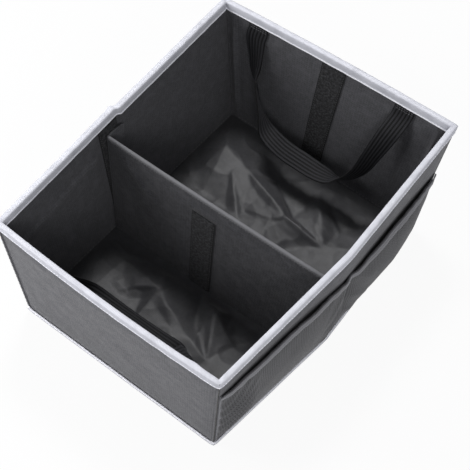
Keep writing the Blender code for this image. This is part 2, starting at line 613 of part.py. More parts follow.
def main():
    for thing in list(bpy.data.objects):
        bpy.data.objects.remove(thing, do_unlink=True)
    parts = bpy.data.collections.new("back_seat_organizer")
    cutters = bpy.data.collections.new("cutters")
    for group in (parts, cutters):
        bpy.context.scene.collection.children.link(group)
    looks = {
        "cover": material("non_woven_cover", "#4b4b50", 0.85),
        "lining": material("non_woven_lining", "#38383b", 0.9),
        "card": material("grey_card", "#8c8a84", 0.95),
        "binding": material("polyester_binding_tape", "#d9dbe6", 0.7),
        "mesh": material("polyester_mesh", "#3d3d40", 0.8),
        "hem": material("elastic_hem", "#66666a", 0.8),
        "strap": material("elastic_webbing", "#2f2f31", 0.75),
        "loop": material("loop_tape", "#1f1f21", 1.0),
    }
    make_base(parts, cutters, looks)
    for side, name in ((-1, "near"), (1, "far")):
        make_end_wall(side, name, parts, looks)
    for side, name in ((-1, "left"), (1, "right")):
        make_side_wall(side, name, parts, looks)
    make_rim_binding(parts, cutters, looks)
    make_strips(parts, looks)
    make_divider(parts, cutters, looks)
    make_pocket(parts, looks)
    make_floor(parts, looks)
    make_handles(parts, looks)


main()
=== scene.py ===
# %% [markdown]
# # A folding back seat organizer
# The real object is a box of dark non-woven cloth sewn over card, bound along its rim and foot with pale
# ribbed tape. A divider, held by hook and loop, makes two compartments. Each end wall carries a webbing
# handle inside, and a mesh pocket covers the right wall outside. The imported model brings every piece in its
# true place. This lesson gives each one its cloth, folds, seams and stitches.

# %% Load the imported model
import math
import random

import bmesh
import bpy
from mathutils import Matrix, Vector, noise
from mathutils.bvhtree import BVHTree


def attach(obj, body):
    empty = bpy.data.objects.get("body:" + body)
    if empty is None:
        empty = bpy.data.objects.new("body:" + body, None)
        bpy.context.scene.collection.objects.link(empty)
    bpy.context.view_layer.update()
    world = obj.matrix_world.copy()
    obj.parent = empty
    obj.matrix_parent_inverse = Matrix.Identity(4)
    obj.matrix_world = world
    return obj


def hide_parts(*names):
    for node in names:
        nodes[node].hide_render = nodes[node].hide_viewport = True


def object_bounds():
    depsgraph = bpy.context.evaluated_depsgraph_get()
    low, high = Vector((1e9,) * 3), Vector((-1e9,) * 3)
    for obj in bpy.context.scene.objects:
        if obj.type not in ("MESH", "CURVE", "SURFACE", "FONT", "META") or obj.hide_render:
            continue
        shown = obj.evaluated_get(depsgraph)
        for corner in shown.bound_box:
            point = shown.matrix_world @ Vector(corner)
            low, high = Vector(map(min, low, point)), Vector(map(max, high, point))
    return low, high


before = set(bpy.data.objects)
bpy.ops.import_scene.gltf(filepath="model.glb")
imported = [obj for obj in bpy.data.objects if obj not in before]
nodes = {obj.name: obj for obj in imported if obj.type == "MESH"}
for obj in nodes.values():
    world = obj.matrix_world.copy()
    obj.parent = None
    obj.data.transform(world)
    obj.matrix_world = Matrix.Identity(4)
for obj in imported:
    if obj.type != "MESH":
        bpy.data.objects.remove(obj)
cad_low, cad_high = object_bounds()
MM = 0.001
random.seed(7)
print("pieces in the packed model:", len(nodes))

# %% [markdown]
# ## Colour and node helpers
# Colours are chosen in sRGB hex, as they are seen on a screen. The renderer counts in linear light, so one
# function turns hex into linear numbers. A second one gives an input its value, or joins it to the node that
# feeds it. A third adds a shader node with its inputs and settings, so each finish below reads as a recipe.


# %% Colour and node helpers
MAIN_OUTPUT = {"ShaderNodeMix": 2, "ShaderNodeTexWave": 1}
SHARE, UNDER, OVER = 0, 6, 7  # the inputs of a colour mix, whose names aren't unique


def linear(code):
    """The linear red, green, blue and alpha of a hex colour."""
    parts = [int(code[i:i + 2], 16) / 255 for i in (1, 3, 5)]
    return [c / 12.92 if c <= 0.04045 else ((c + 0.055) / 1.055) ** 2.4 for c in parts] + [1.0]


def feed(socket, value):
    """Gives an input a number, a hex colour, an output socket, or a node, which counts as its main output."""
    if isinstance(value, bpy.types.Node):
        value = value.outputs[MAIN_OUTPUT.get(value.bl_idname, 0)]
    if isinstance(value, bpy.types.NodeSocket):
        socket.id_data.links.new(value, socket)
    else:
        socket.default_value = linear(value) if isinstance(value, str) else value


def add_node(tree, kind, inputs=None, **settings):
    """Adds one shader node. The settings come first, because they can decide which inputs it has."""
    node = tree.nodes.new("ShaderNode" + kind)
    for key, value in settings.items():
        setattr(node, key, value)
    for key, value in (inputs or {}).items():
        feed(node.inputs[key], value)
    return node


print("mid grey in linear light:", round(linear("#808080")[0], 3))

# %% [markdown]
# ## Camera
# The camera stands high in front of the near right corner and looks down at the box. Its place comes from
# the four rim corners and three foot corners that the picture shows, with a lens long enough that the
# far edges shrink only a little.

# %% Camera
IMAGE_SIDE = 470
FOCAL_PIXELS = 1558.3
CAMERA_DISTANCE = 1542.4 * MM
CAMERA_AZIMUTH = math.radians(38.03)
CAMERA_ELEVATION = math.radians(55.98)
CAMERA_ROLL = math.radians(1.05)
CAMERA_SLIDE = (11.19 * MM, -12.27 * MM)
BOX_MIDDLE = Vector((0, 0, 80 * MM))

back = Vector((math.sin(CAMERA_AZIMUTH) * math.cos(CAMERA_ELEVATION),
               -math.cos(CAMERA_AZIMUTH) * math.cos(CAMERA_ELEVATION), math.sin(CAMERA_ELEVATION)))
level = Vector((math.cos(CAMERA_AZIMUTH), math.sin(CAMERA_AZIMUTH), 0))
upright = back.cross(level)
right = math.cos(CAMERA_ROLL) * level + math.sin(CAMERA_ROLL) * upright
upward = math.cos(CAMERA_ROLL) * upright - math.sin(CAMERA_ROLL) * level

camera_data = bpy.data.cameras.new("camera")
camera_data.sensor_width = 36
camera_data.lens = FOCAL_PIXELS / IMAGE_SIDE * camera_data.sensor_width
camera = bpy.data.objects.new("camera", camera_data)
bpy.context.scene.collection.objects.link(camera)
turn = camera.matrix_world.to_3x3()
turn.col[0], turn.col[1], turn.col[2] = right, upward, back
camera.matrix_world = turn.to_4x4()
camera.location = BOX_MIDDLE + back * CAMERA_DISTANCE + right * CAMERA_SLIDE[0] + upward * CAMERA_SLIDE[1]
bpy.context.scene.camera = camera
print("lens:", round(camera_data.lens, 1), "mm")

# %% [markdown]
# ## Floor and light
# A plain pale floor shows the shape best. To the camera it is nearly white, and to everything else it is a
# mid grey, so that it doesn't throw too much light up into the cloth. A high lamp behind the left shoulder of
# the box throws the soft shadows of the walls and the divider down inside it. A close lamp at the front left
# makes the near end wall the lightest one, a large lamp on the right lights the pocket, and a smaller one at
# the near right reaches over the rim to the divider and the far lining. A dim sky fills the rest.


# %% Floor and light
SEEN_GLOW = 0.93


def backdrop_material():
    made = bpy.data.materials.new("matt_paper_floor")
    made.use_nodes = True
    tree = made.node_tree
    shader = tree.nodes["Principled BSDF"]
    feed(shader.inputs["Base Color"], "#c8c8ca")
    feed(shader.inputs["Roughness"], 0.9)
    glow = add_node(tree, "Emission", {"Color": "#ffffff", "Strength": 1.0})
    rays = add_node(tree, "LightPath")
    seen = add_node(tree, "Math", {0: rays.outputs["Is Camera Ray"], 1: rays.outputs["Is Glossy Ray"]},
                    operation="MAXIMUM")
    seen_through = add_node(tree, "Math", {0: seen, 1: rays.outputs["Is Transmission Ray"]}, operation="MAXIMUM")
    share = add_node(tree, "Math", {0: seen_through, 1: SEEN_GLOW}, operation="MULTIPLY")
    mix = add_node(tree, "MixShader", {0: share, 1: shader, 2: glow})
    feed(tree.nodes["Material Output"].inputs["Surface"], mix)
    return made


FLOOR_SIDE = 8.0
bpy.ops.mesh.primitive_plane_add(size=FLOOR_SIDE, location=(0, 0, cad_low.z))
floor = bpy.context.object
floor.name = "floor"
floor.data.materials.append(backdrop_material())


def soft_lamp(name, place, aim, side, watts):
    """A square lamp of that side, in metres, at a place and turned to its aim."""
    data = bpy.data.lights.new(name, "AREA")
    data.shape = "SQUARE"
    data.size = side
    data.energy = watts
    lamp = bpy.data.objects.new(name, data)
    bpy.context.scene.collection.objects.link(lamp)
    lamp.location = place
    lamp.rotation_euler = (Vector(aim) - Vector(place)).to_track_quat("-Z", "Y").to_euler()


soft_lamp("front_lamp", (-0.7, -0.5, 0.55), (0, -0.05, 0.05), 0.5, 7.2)
soft_lamp("side_lamp", (1.7, -0.7, 1.2), (0, 0, 0.05), 1.4, 8.5)
soft_lamp("high_lamp", (-0.62, 0.66, 2.0), (0, 0, 0), 0.5, 34)
soft_lamp("near_lamp", (0.95, -1.0, 1.05), (0, 0.03, 0.1), 0.5, 7)
world = bpy.data.worlds.new("soft_sky")
world.use_nodes = True
sky = world.node_tree.nodes["Background"]
feed(sky.inputs["Color"], "#f4f5f8")
feed(sky.inputs["Strength"], 0.32)
bpy.context.scene.world = world
bpy.context.scene.view_settings.view_transform = "Standard"
print("lamps:", len(bpy.data.lights))

# %% [markdown]
# ## The straight box and how it settles
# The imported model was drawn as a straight, square box, whose points were then moved to where the sewn box
# holds them: the walls lean out, and bow at their middle folds. Drawing the detail in the same straight box
# keeps every seam, fold and stitch in step with the wall that carries it. So this cell repeats that move.

# %% The straight box and how it settles
HALF_W, HALF_L, WALL_TOP = 120 * MM, 162.5 * MM, 160 * MM
FOLD_Y, FOLD_GAP = -3 * MM, 5 * MM
CLOTH, CARD, GAP = 0.6 * MM, 1.2 * MM, 0.3 * MM
WALL = CLOTH + GAP + CARD + GAP + CLOTH
LEAN_NEAR_LEFT, LEAN_FAR_LEFT = (8.5 * MM, 14 * MM), (21.5 * MM, 13 * MM)
LEAN_NEAR_RIGHT, LEAN_FAR_RIGHT = (19.6 * MM, 15.2 * MM), (17.6 * MM, 26.4 * MM)
BOW_RIGHT_FOOT, BOW_RIGHT_RIM = 12 * MM, 9.2 * MM
BOW_LEFT_NEAR, BOW_LEFT_FAR = 2.4 * MM, -0.6 * MM
BOW_NEAR_RIM, BOW_FAR_RIM = 3.6 * MM, 2 * MM
WALLS, END_WALLS = ("near", "far", "left", "right"), ("near", "far")


def held(value):
    """The value, kept between 0 and 1."""
    return min(1.0, max(0.0, value))


def smooth_step(value):
    value = held(value)
    return value * value * (3.0 - 2.0 * value)


def hump(off, width):
    """1 at the middle, and nearly nothing from two widths on."""
    return math.exp(-(off / width) ** 2)


def settle(point):
    """Moves a point of the straight box to where the sewn box holds it."""
    x, y, z = point
    right, far, up = x / (2 * HALF_W) + 0.5, y / (2 * HALF_L) + 0.5, z / WALL_TOP
    left, near = 1.0 - right, 1.0 - far
    lean_x = (right * (near * LEAN_NEAR_RIGHT[0] + far * LEAN_FAR_RIGHT[0])
              - left * (near * LEAN_NEAR_LEFT[0] + far * LEAN_FAR_LEFT[0]))
    lean_y = (far * (left * LEAN_FAR_LEFT[1] + right * LEAN_FAR_RIGHT[1])
              - near * (left * LEAN_NEAR_LEFT[1] + right * LEAN_NEAR_RIGHT[1]))
    end = -HALF_L if y < FOLD_Y else HALF_L
    tent = max(0.0, (end - y) / (end - FOLD_Y))
    arch = max(0.0, 1.0 - (x / HALF_W) ** 2)
    past_fold = smooth_step((y - FOLD_Y) / FOLD_GAP + 0.5)
    bow_left = (BOW_LEFT_NEAR + past_fold * (BOW_LEFT_FAR - BOW_LEFT_NEAR)) * up
    bow_right = BOW_RIGHT_FOOT * (1.0 - up) + BOW_RIGHT_RIM * up
    bow_x = tent * (right * bow_right - left * bow_left)
    bow_y = arch * (far * BOW_FAR_RIM - near * BOW_NEAR_RIM) * up
    return Vector((x + lean_x * up + bow_x, y + lean_y * up + bow_y, z))


def wall_half(wall):
    """Half the length of a wall."""
    return HALF_W if wall in END_WALLS else HALF_L


def wall_node(wall, kind):
    """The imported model's name of a wall's piece."""
    return f"{wall}_{'end' if wall in END_WALLS else 'side'}_{kind}"


rim_corner = settle((HALF_W, -HALF_L, WALL_TOP))
print("near right rim corner, mm:", [round(c / MM, 1) for c in rim_corner])

# %% [markdown]
# ## Thin closed sheets
# Cloth has two faces and a cut edge, so each piece is a thin closed shell: a grid of points for the face
# that shows, a second grid behind it, and a strip round the edge. A plane with a Solidify modifier would
# give the same look, but two grids let a seam or a pucker move both faces together. Each point also keeps
# its place on the flat cloth, in metres, in a UV map called cut. The weaves below are drawn on that map, so
# they run with the cloth round every fold.


# %% Thin closed sheets
SHARP_ANGLE = 65


def make_shell(name, grids, cut, look, node, wrap=0.0):
    """A closed piece from a front and a back grid. wrap is the length of a band that closes on itself."""
    rows, columns = len(cut), len(cut[0])
    half = rows * columns
    faces, flat = [], []

    def add_face(*corners):
        faces.append([layer * half + (i % rows) * columns + j for layer, i, j in corners])
        for _, i, j in corners:
            flat.extend((cut[i % rows][j][0] + (wrap if i >= rows else 0.0), cut[i % rows][j][1]))

    for i in range(rows if wrap else rows - 1):
        for j in range(columns - 1):
            add_face((0, i, j), (0, i + 1, j), (0, i + 1, j + 1), (0, i, j + 1))
            add_face((1, i, j), (1, i, j + 1), (1, i + 1, j + 1), (1, i + 1, j))
        add_face((0, i, 0), (1, i, 0), (1, i + 1, 0), (0, i + 1, 0))
        add_face((0, i, columns - 1), (0, i + 1, columns - 1), (1, i + 1, columns - 1), (1, i, columns - 1))
    for j in range(0 if wrap else columns - 1):
        add_face((0, 0, j), (0, 0, j + 1), (1, 0, j + 1), (1, 0, j))
        add_face((0, rows - 1, j), (1, rows - 1, j), (1, rows - 1, j + 1), (0, rows - 1, j + 1))
    data = bpy.data.meshes.new(name)
    data.from_pydata([spot for grid in grids for row in grid for spot in row], [], faces)
    data.uv_layers.new(name="cut").data.foreach_set("uv", flat)
    mesh = bmesh.new()
    mesh.from_mesh(data)
    bmesh.ops.recalc_face_normals(mesh, faces=mesh.faces[:])
    mesh.to_mesh(data)
    mesh.free()
    return make_piece(name, data, look, node)


def make_piece(name, data, look, node):
    """Puts a mesh into the scene as a piece of the object, in place of a node where one is named."""
    data.polygons.foreach_set("use_smooth", [True] * len(data.polygons))
    data.set_sharp_from_angle(angle=math.radians(SHARP_ANGLE))
    data.materials.append(look)
    piece = bpy.data.objects.new(name, data)
    bpy.context.scene.collection.objects.link(piece)
    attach(piece, "root")
    if node:
        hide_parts(node)
    return piece


print("edges are sharp from, degrees:", SHARP_ANGLE)


# %% Grids and lines
def settled_grid(rows, columns, place):
    """A grid of points, each from place(row, column) in the straight box."""
    return [[settle(place(a, b)) for b in columns] for a in rows]


def flat_cut(rows, columns):
    """The places on the flat cloth of a grid whose rows and columns are straight."""
    return [[(a, b) for b in columns] for a in rows]


def spread(low, high, step, also=()):
    """Even places about one step apart, and the given ones."""
    count = max(1, round((high - low) / step))
    even = [low + (high - low) * i / count for i in range(count + 1)]
    near_step = 0.3 * step
    inner = [e for e in even[1:-1] if all(abs(e - a) > near_step for a in also)]
    return sorted([low, high] + inner + [a for a in also if low < a < high])


def add_rows(grids, rows):
    """Adds a row to the front grid and one to the back grid."""
    for grid, row in zip(grids, rows):
        grid.append(row)


def run_along(line):
    """The distance from the start of a flat line to each of its points."""
    run = [0.0]
    for before, after in zip(line, line[1:]):
        run.append(run[-1] + math.dist(before, after))
    return run


def ripple(a, b, wave, seed):
    """Smooth noise between 0 and 1 whose hills are about one wave apart."""
    return held(0.5 + 0.7 * noise.noise(Vector((a / wave, b / wave, seed))))


print("ripple sample:", round(ripple(0.01, 0.02, 0.03, 1.0), 2))

# %% [markdown]
# ## Non-woven cloth
# The walls are spunbond polypropylene: dyed fibres laid at random and melted together at rows of small
# bond points. That gives a matt, finely mottled grey with a pattern of tiny dents and no thread lines. Real
# bond points are about 1.3 mm apart. On the walls they are drawn 2.6 mm apart, or the render would blur them
# away, and on the floor cloth faintly and 1.5 mm apart. Noise for the bunched fibres and Voronoi cells for
# the dents draw both, and the same two drive the bump. Outside the cloth is charcoal, rubbed paler in
# patches. The lining is the same cloth in darker colours, which paint the shade inside the box. The divider's
# sleeve is darker still as painted shade, and a paler band along its fold is a painted highlight.


# %% Finish helpers
def new_finish(name, roughness, sheen, sheen_tint="#ffffff", sheen_roughness=0.5):
    """A new material with its node tree and its shader."""
    made = bpy.data.materials.new(name)
    made.use_nodes = True
    shader = made.node_tree.nodes["Principled BSDF"]
    for key, value in (("Roughness", roughness), ("Sheen Weight", sheen), ("Sheen Roughness", sheen_roughness),
                       ("Sheen Tint", sheen_tint)):
        feed(shader.inputs[key], value)
    return made, made.node_tree, shader


def paint(tree, under, over, pattern, band=None, most=1.0):
    """Mixes a colour over another by a pattern. band is where the pattern begins and where it counts most."""
    if band:
        pattern = add_node(tree, "MapRange", {"Value": pattern, "From Min": band[0], "From Max": band[1],
                                              "To Max": most})
    return add_node(tree, "Mix", {SHARE: pattern, UNDER: under, OVER: over}, data_type="RGBA")


def dress(shader, colour, bump, **settings):
    """Gives a shader its colour and its bump, which is described by the bump node's inputs."""
    feed(shader.inputs["Base Color"], colour)
    feed(shader.inputs["Normal"], add_node(shader.id_data, "Bump", bump, **settings))


print("materials so far:", len(bpy.data.materials))


# %% Non-woven cloth
def spunbond(name, dark, light, dent, rubbed, roughness, sheen, fold=None, pitch=2.6 * MM, press=0.5):
    """Non-woven cloth from its darkest and palest fibres, its bond dents and its rubbed patches.
    fold is the place of a fold, measured across the flat cloth, and the colour of a painted highlight along it. pitch
    is the distance of the bond points and press how deep they show."""
    made, tree, shader = new_finish(name, roughness, sheen)
    flat = add_node(tree, "UVMap", uv_map="cut")
    fibres = add_node(tree, "TexNoise", {"Vector": flat, "Scale": 1 / 0.0032, "Detail": 5.0, "Roughness": 0.65})
    bunches = add_node(tree, "TexNoise", {"Vector": flat, "Scale": 1 / 0.011, "Detail": 3.0})
    points = add_node(tree, "TexVoronoi", {"Vector": flat, "Scale": 1 / pitch, "Randomness": 0.25})
    dents = add_node(tree, "MapRange", {"Value": points, "From Min": 0.2, "From Max": 0.42})
    colour = paint(tree, dark, light, fibres, (0.36, 0.66))
    colour = paint(tree, dent, colour, dents)
    colour = paint(tree, colour, rubbed, bunches, (0.46, 0.8), 0.55)
    # A pale band painted along the fold stands for the highlight on its crown.
    if fold:
        across = add_node(tree, "SeparateXYZ", {0: flat})
        off = add_node(tree, "Math", {0: across.outputs["Y"], 1: fold[0]}, operation="SUBTRACT")
        away = add_node(tree, "Math", {0: off}, operation="ABSOLUTE")
        colour = paint(tree, colour, fold[1], away, (0.005, 0.0036), 0.9)
    soft = add_node(tree, "Bump", {"Height": fibres, "Strength": 0.55, "Distance": 0.4 * MM})
    dress(shader, colour, {"Height": dents, "Strength": press, "Distance": 0.3 * MM, "Normal": soft})
    return made


# Where the sleeve's top fold lies on its flat cloth, and the colour of the painted highlight along it.
SLEEVE_FOLD_HIGHLIGHT = (0.1350, "#606063")
cover_cloth = spunbond("spunbond_polypropylene_charcoal", "#424247", "#5c5c60", "#3b3b3f", "#646468", 0.86, 0.12)
# The lining is the cover's cloth in darker colours: painted shade for the inside of the box.
shaded_lining_cloth = spunbond("spunbond_polypropylene_lining_painted_shade", "#37373a", "#47474b", "#333336", "#4e4e52", 0.9, 0.06)
# The divider's sleeve is the lining cloth in darker colours still: painted shade for the near compartment.
shaded_sleeve_cloth = spunbond("spunbond_polypropylene_lining_painted_shade_fold_highlight", "#26262a", "#3c3c40", "#232326", "#464649", 0.9,
                        0.06, SLEEVE_FOLD_HIGHLIGHT)
floor_look = spunbond("spunbond_polypropylene_loose_floor", "#28282b", "#343437", "#252527", "#3c3c3f", 0.55, 0.1,
                      pitch=1.5 * MM, press=0.2)
print("cloths:", cover_cloth.name, shaded_lining_cloth.name, floor_look.name)

# %% [markdown]
# ## Tapes, webbing and mesh
# The rest is woven or knitted. Binding tape is a polyester ribbon with cross ribs about 1.3 mm apart, nearly
# white with a breath of lavender. Webbing is elastic: rubber cores between warp threads, so it shows ribs
# along its length in its shape, with painted highlights on the ribs and painted shade in the grooves between
# them, and a fine weave across them. Loop tape is a brushed knit, black and fuzzy, which takes sheen and a
# coarse bump. Hook tape is nylon with rows of tiny hooks. Each pattern is a wave or cell texture on the flat map.


# %% Binding tape
WAVE_LENGTH = 0.314  # a wave texture of scale 1 repeats after this many metres


def ribbon(name, width):
    """Binding ribbon of one width: ribs across, painted highlights along both edges and a little soil."""
    made, tree, shader = new_finish(name, 0.62, 0.2, "#f4f4ff")
    flat = add_node(tree, "UVMap", uv_map="cut")
    ribs = add_node(tree, "TexWave", {"Vector": flat, "Scale": WAVE_LENGTH / 0.0013, "Distortion": 0.8,
                                      "Detail": 1.0}, wave_profile="SIN")
    soil = add_node(tree, "TexNoise", {"Vector": flat, "Scale": 1 / 0.014, "Detail": 5.0})
    across = add_node(tree, "SeparateXYZ", {0: flat}).outputs["Y"]
    # Painted highlights: the colour turns pale within about 2 mm of both edges.
    low_edge_highlight = add_node(tree, "MapRange", {"Value": across, "From Min": 0.0026, "From Max": 0.0018})
    high_edge_highlight = add_node(tree, "MapRange", {"Value": across, "From Min": width - 0.0022, "From Max": width - 0.0016})
    edges = add_node(tree, "Math", {0: low_edge_highlight, 1: high_edge_highlight}, operation="MAXIMUM")
    colour = paint(tree, "#b2b3bb", "#c2c3ca", ribs)
    colour = paint(tree, colour, "#9fa0a8", soil, (0.45, 0.7), 0.6)
    colour = paint(tree, colour, "#eeeef5", edges)
    dress(shader, colour, {"Height": ribs, "Strength": 0.2, "Distance": 0.2 * MM})
    return made


tape_look = ribbon("polyester_ribbed_binding_tape", 0.0240)
base_tape_look = ribbon("polyester_ribbed_base_tape", 0.0066)
print("tapes:", tape_look.name, base_tape_look.name)

# %% Webbing
webbing_look, tree, shader = new_finish("elastic_webbing_charcoal", 0.66, 0.06, "#d8d8e0")
feed(shader.inputs["Specular IOR Level"], 0.15)
flat = add_node(tree, "UVMap", uv_map="cut")
picks = add_node(tree, "TexWave", {"Vector": flat, "Scale": WAVE_LENGTH / 0.0016, "Distortion": 1.0,
                                   "Detail": 1.0}, wave_profile="SIN")
# Colour stripes along the length: painted highlights on the cord ribs and painted shade in the grooves between them.
rib_highlight_groove_shade = add_node(tree, "TexWave", {"Vector": flat, "Scale": WAVE_LENGTH / 0.00333}, bands_direction="Y",
                 wave_profile="SIN")
lint = add_node(tree, "TexNoise", {"Vector": flat, "Scale": 1 / 0.004, "Detail": 4.0})
colour = paint(tree, "#040404", "#262629", rib_highlight_groove_shade)
colour = paint(tree, colour, "#232326", lint, (0.52, 0.75), 0.5)
dress(shader, colour, {"Height": picks, "Strength": 0.5, "Distance": 0.3 * MM})
print("webbing:", webbing_look.name)

# %% Loop and hook tape
loop_look, tree, shader = new_finish("nylon_loop_tape_black", 1.0, 0.06, "#a0a0a8", 0.7)
flat = add_node(tree, "UVMap", uv_map="cut")
pile = add_node(tree, "TexNoise", {"Vector": flat, "Scale": 1 / 0.0026, "Detail": 5.0, "Roughness": 0.75})
along_x = add_node(tree, "SeparateXYZ", {0: flat})
off_middle = add_node(tree, "Math", {0: along_x}, operation="ABSOLUTE")
colour = paint(tree, "#050505", "#3c3c3f", pile, (0.45, 0.68))
colour = paint(tree, colour, "#060607", off_middle, (0.0102, 0.0112))
dress(shader, colour, {"Height": pile, "Strength": 1.0, "Distance": 0.7 * MM})

hook_look, tree, shader = new_finish("nylon_hook_tape_black", 0.55, 0.1)
flat = add_node(tree, "UVMap", uv_map="cut")
hooks = add_node(tree, "TexVoronoi", {"Vector": flat, "Scale": 1 / 0.0018, "Randomness": 0.15})
dress(shader, paint(tree, "#2e2e30", "#101011", hooks), {"Height": hooks, "Strength": 0.9, "Distance": 0.8 * MM},
      invert=True)
print("hook and loop:", loop_look.name, hook_look.name)

# %% [markdown]
# ## Mesh, elastic hem, card and thread
# The pocket is warp-knitted polyester mesh with rows of small round holes. The real holes are about 1.5 mm
# apart; they are drawn 2.2 mm apart so that they show. A dark dot with a lip stands for each hole, because
# the cloth behind is nearly as dark, and both ends have a pale turned-in edge. The hem is elastic: the finish
# has the rows along it, and its cross ribs are in the shape. The cards in the walls are grey board pressed
# from waste paper, with flecks. Thread is spun polyester with a slight twist.

# %% Mesh and elastic hem
mesh_look, tree, shader = new_finish("polyester_warp_knit_mesh", 0.7, 0.12, "#c8c8cc")
flat = add_node(tree, "UVMap", uv_map="cut")
eyes = add_node(tree, "TexVoronoi", {"Vector": flat, "Scale": 1 / 0.0022, "Randomness": 0.05})
eye_share = add_node(tree, "MapRange", {"Value": eyes, "From Min": 0.2, "From Max": 0.36})
patchy = add_node(tree, "TexNoise", {"Vector": flat, "Scale": 1 / 0.02, "Detail": 4.0})
along_x = add_node(tree, "SeparateXYZ", {0: flat})
off_middle = add_node(tree, "Math", {0: along_x}, operation="ABSOLUTE")
colour = paint(tree, "#3a3a3c", "#555558", patchy)
colour = paint(tree, "#121214", colour, eye_share)
colour = paint(tree, colour, "#77777b", off_middle, (HALF_L - 3.4 * MM, HALF_L - 2.6 * MM))
dress(shader, colour, {"Height": eye_share, "Strength": 0.8, "Distance": 0.5 * MM})

hem_look, tree, shader = new_finish("elastic_ribbed_hem", 0.75, 0.3, "#e0e0e4")
flat = add_node(tree, "UVMap", uv_map="cut")
rows = add_node(tree, "TexWave", {"Vector": flat, "Scale": WAVE_LENGTH / 0.002}, bands_direction="Y",
                wave_profile="SIN")
worn = add_node(tree, "TexNoise", {"Vector": flat, "Scale": 1 / 0.007, "Detail": 3.0})
dress(shader, paint(tree, "#59595d", "#7c7c80", rows), {"Height": worn, "Strength": 0.6, "Distance": 0.3 * MM})
print("pocket:", mesh_look.name, hem_look.name)


# %% Card and thread
def flecked(name, dark, light, roughness, sheen, size, detail, strength):
    """A finish of flecks of one size that run through the whole piece."""
    made, tree, shader = new_finish(name, roughness, sheen)
    place = add_node(tree, "TexCoord").outputs["Object"]
    flecks = add_node(tree, "TexNoise", {"Vector": place, "Scale": 1 / size, "Detail": detail})
    dress(shader, paint(tree, dark, light, flecks), {"Height": flecks, "Strength": strength, "Distance": 0.2 * MM})
    return made


def thread(name, dark, light):
    return flecked(name, dark, light, 0.6, 0.2, 0.0008, 2.0, 0.5)


card_look = flecked("grey_board", "#7c7a74", "#9a988f", 0.95, 0.0, 0.006, 6.0, 0.3)
pale_thread = thread("spun_polyester_thread_pale", "#c2c3cc", "#dfe0e8")
grey_thread = thread("spun_polyester_thread_grey", "#38383b", "#59595c")
dark_thread = thread("spun_polyester_thread_dark", "#161617", "#2c2c2e")
print("materials:", len(bpy.data.materials))

# %% [markdown]
# ## Cards inside the walls
# Nine cards stiffen the floor, the walls and the divider. The cloth hides them, and their shapes in the
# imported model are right, so they stay as they are and only get the grey board.

# %% Cards inside the walls
CARDS = ("bottom_board_near", "bottom_board_far", "near_end_board", "far_end_board", "left_side_board_near",
         "left_side_board_far", "right_side_board_near", "right_side_board_far", "divider_board")
for name in CARDS:
    nodes[name].material_slots[0].material = card_look
print("cards:", len(CARDS))

# %% [markdown]
# ## Wall covers
# Four panels of charcoal cloth form the outside. Each is sewn along its edges and only rests on the card
# between, so it swells a little there and puckers just under the tape. A displaced grid gives that without a
# cloth simulation, and keeps each panel in the space of its solid. The end panels turn their edge outwards
# into a raised seam at each corner. On the pocket side the cloth stays flat behind the mesh.


# %% Wall covers
TAPE_FOOT = WALL_TOP - 9 * MM
SEAM_RIDGE, SEAM_RIDGE_START = 1.2 * MM, HALF_W - 1.6 * MM


def wall_spot(wall, along, depth, z):
    """A point of the straight box, counted inwards from the outer face of one of its walls."""
    return {"near": (along, depth - HALF_L, z), "far": (along, HALF_L - depth, z),
            "left": (depth - HALF_W, along, z), "right": (HALF_W - depth, along, z)}[wall]


def wall_sheet(name, node, wall, depth, half, foot, relief, look, outside, step=2.6 * MM, also=()):
    """One wall of cloth. relief(along, z) moves it outwards on a cover and inwards on a lining."""
    along = spread(-half, half, step, also)
    heights = spread(foot, WALL_TOP, step, (TAPE_FOOT - 1 * MM, foot + 1 * MM))
    way = -1 if outside else 1
    grids = [settled_grid(along, heights, lambda a, z: wall_spot(wall, a, face_depth + way * relief(a, z), z))
             for face_depth in (depth, depth + CLOTH)]
    return make_shell(name, grids if outside else grids[::-1], flat_cut(along, heights), look, node)


def cover_relief(wall):
    """How far a cover stands out: it swells between its seams, puckers under the tape and has raised corners."""
    seed = 3.7 * WALLS.index(wall)
    half = wall_half(wall)

    def relief(a, z):
        ends = smooth_step((half - abs(a)) / (16 * MM))
        below_tape = TAPE_FOOT - z
        free = ends * smooth_step(below_tape / (14 * MM)) * smooth_step((z - 3 * MM) / (12 * MM))
        swell = 1.3 * MM * ripple(a, z, 46 * MM, seed) + 0.45 * MM * ripple(a, z, 13 * MM, seed + 9)
        pucker = 0.35 * MM * ripple(a, 0.3 * z, 7 * MM, seed + 5) * math.exp(-max(0.0, below_tape) / (9 * MM))
        if wall == "right":
            swell *= smooth_step((z - mouth_height(a) - 2 * MM) / (9 * MM)) * 0.8
            pucker *= 0.8
        out = free * swell + ends * pucker * (below_tape > 0.2 * MM)
        if half == HALF_W and 3.9 * MM < z < TAPE_FOOT - 0.3 * MM and abs(a) > SEAM_RIDGE_START - 0.01 * MM:
            out += SEAM_RIDGE * (1 + 0.15 * math.sin(z / (1.1 * MM)))
        return out
    return relief


print("foot of the rim tape, mm:", round(TAPE_FOOT / MM))

# %% Mouth of the pocket
POCKET_FOOT, POCKET_SEAM_Y, POCKET_END = 5 * MM, 10 * MM, HALF_L - 1.5 * MM
MOUTH_NEAR, MOUTH_MIDDLE, MOUTH_FAR = 126 * MM, 108 * MM, 90 * MM


def mouth_height(y):
    """The pocket's mouth runs down from corner to corner, and is sewn down at its middle seam."""
    if y < POCKET_SEAM_Y:
        share = (y + HALF_L) / (POCKET_SEAM_Y + HALF_L)
        start, stop, rise = MOUTH_NEAR, MOUTH_MIDDLE, 8 * MM
    else:
        share = (y - POCKET_SEAM_Y) / (HALF_L - POCKET_SEAM_Y)
        start, stop, rise = MOUTH_MIDDLE, MOUTH_FAR, 6 * MM
    return start + share * (stop - start) + rise * math.sin(math.pi * share)


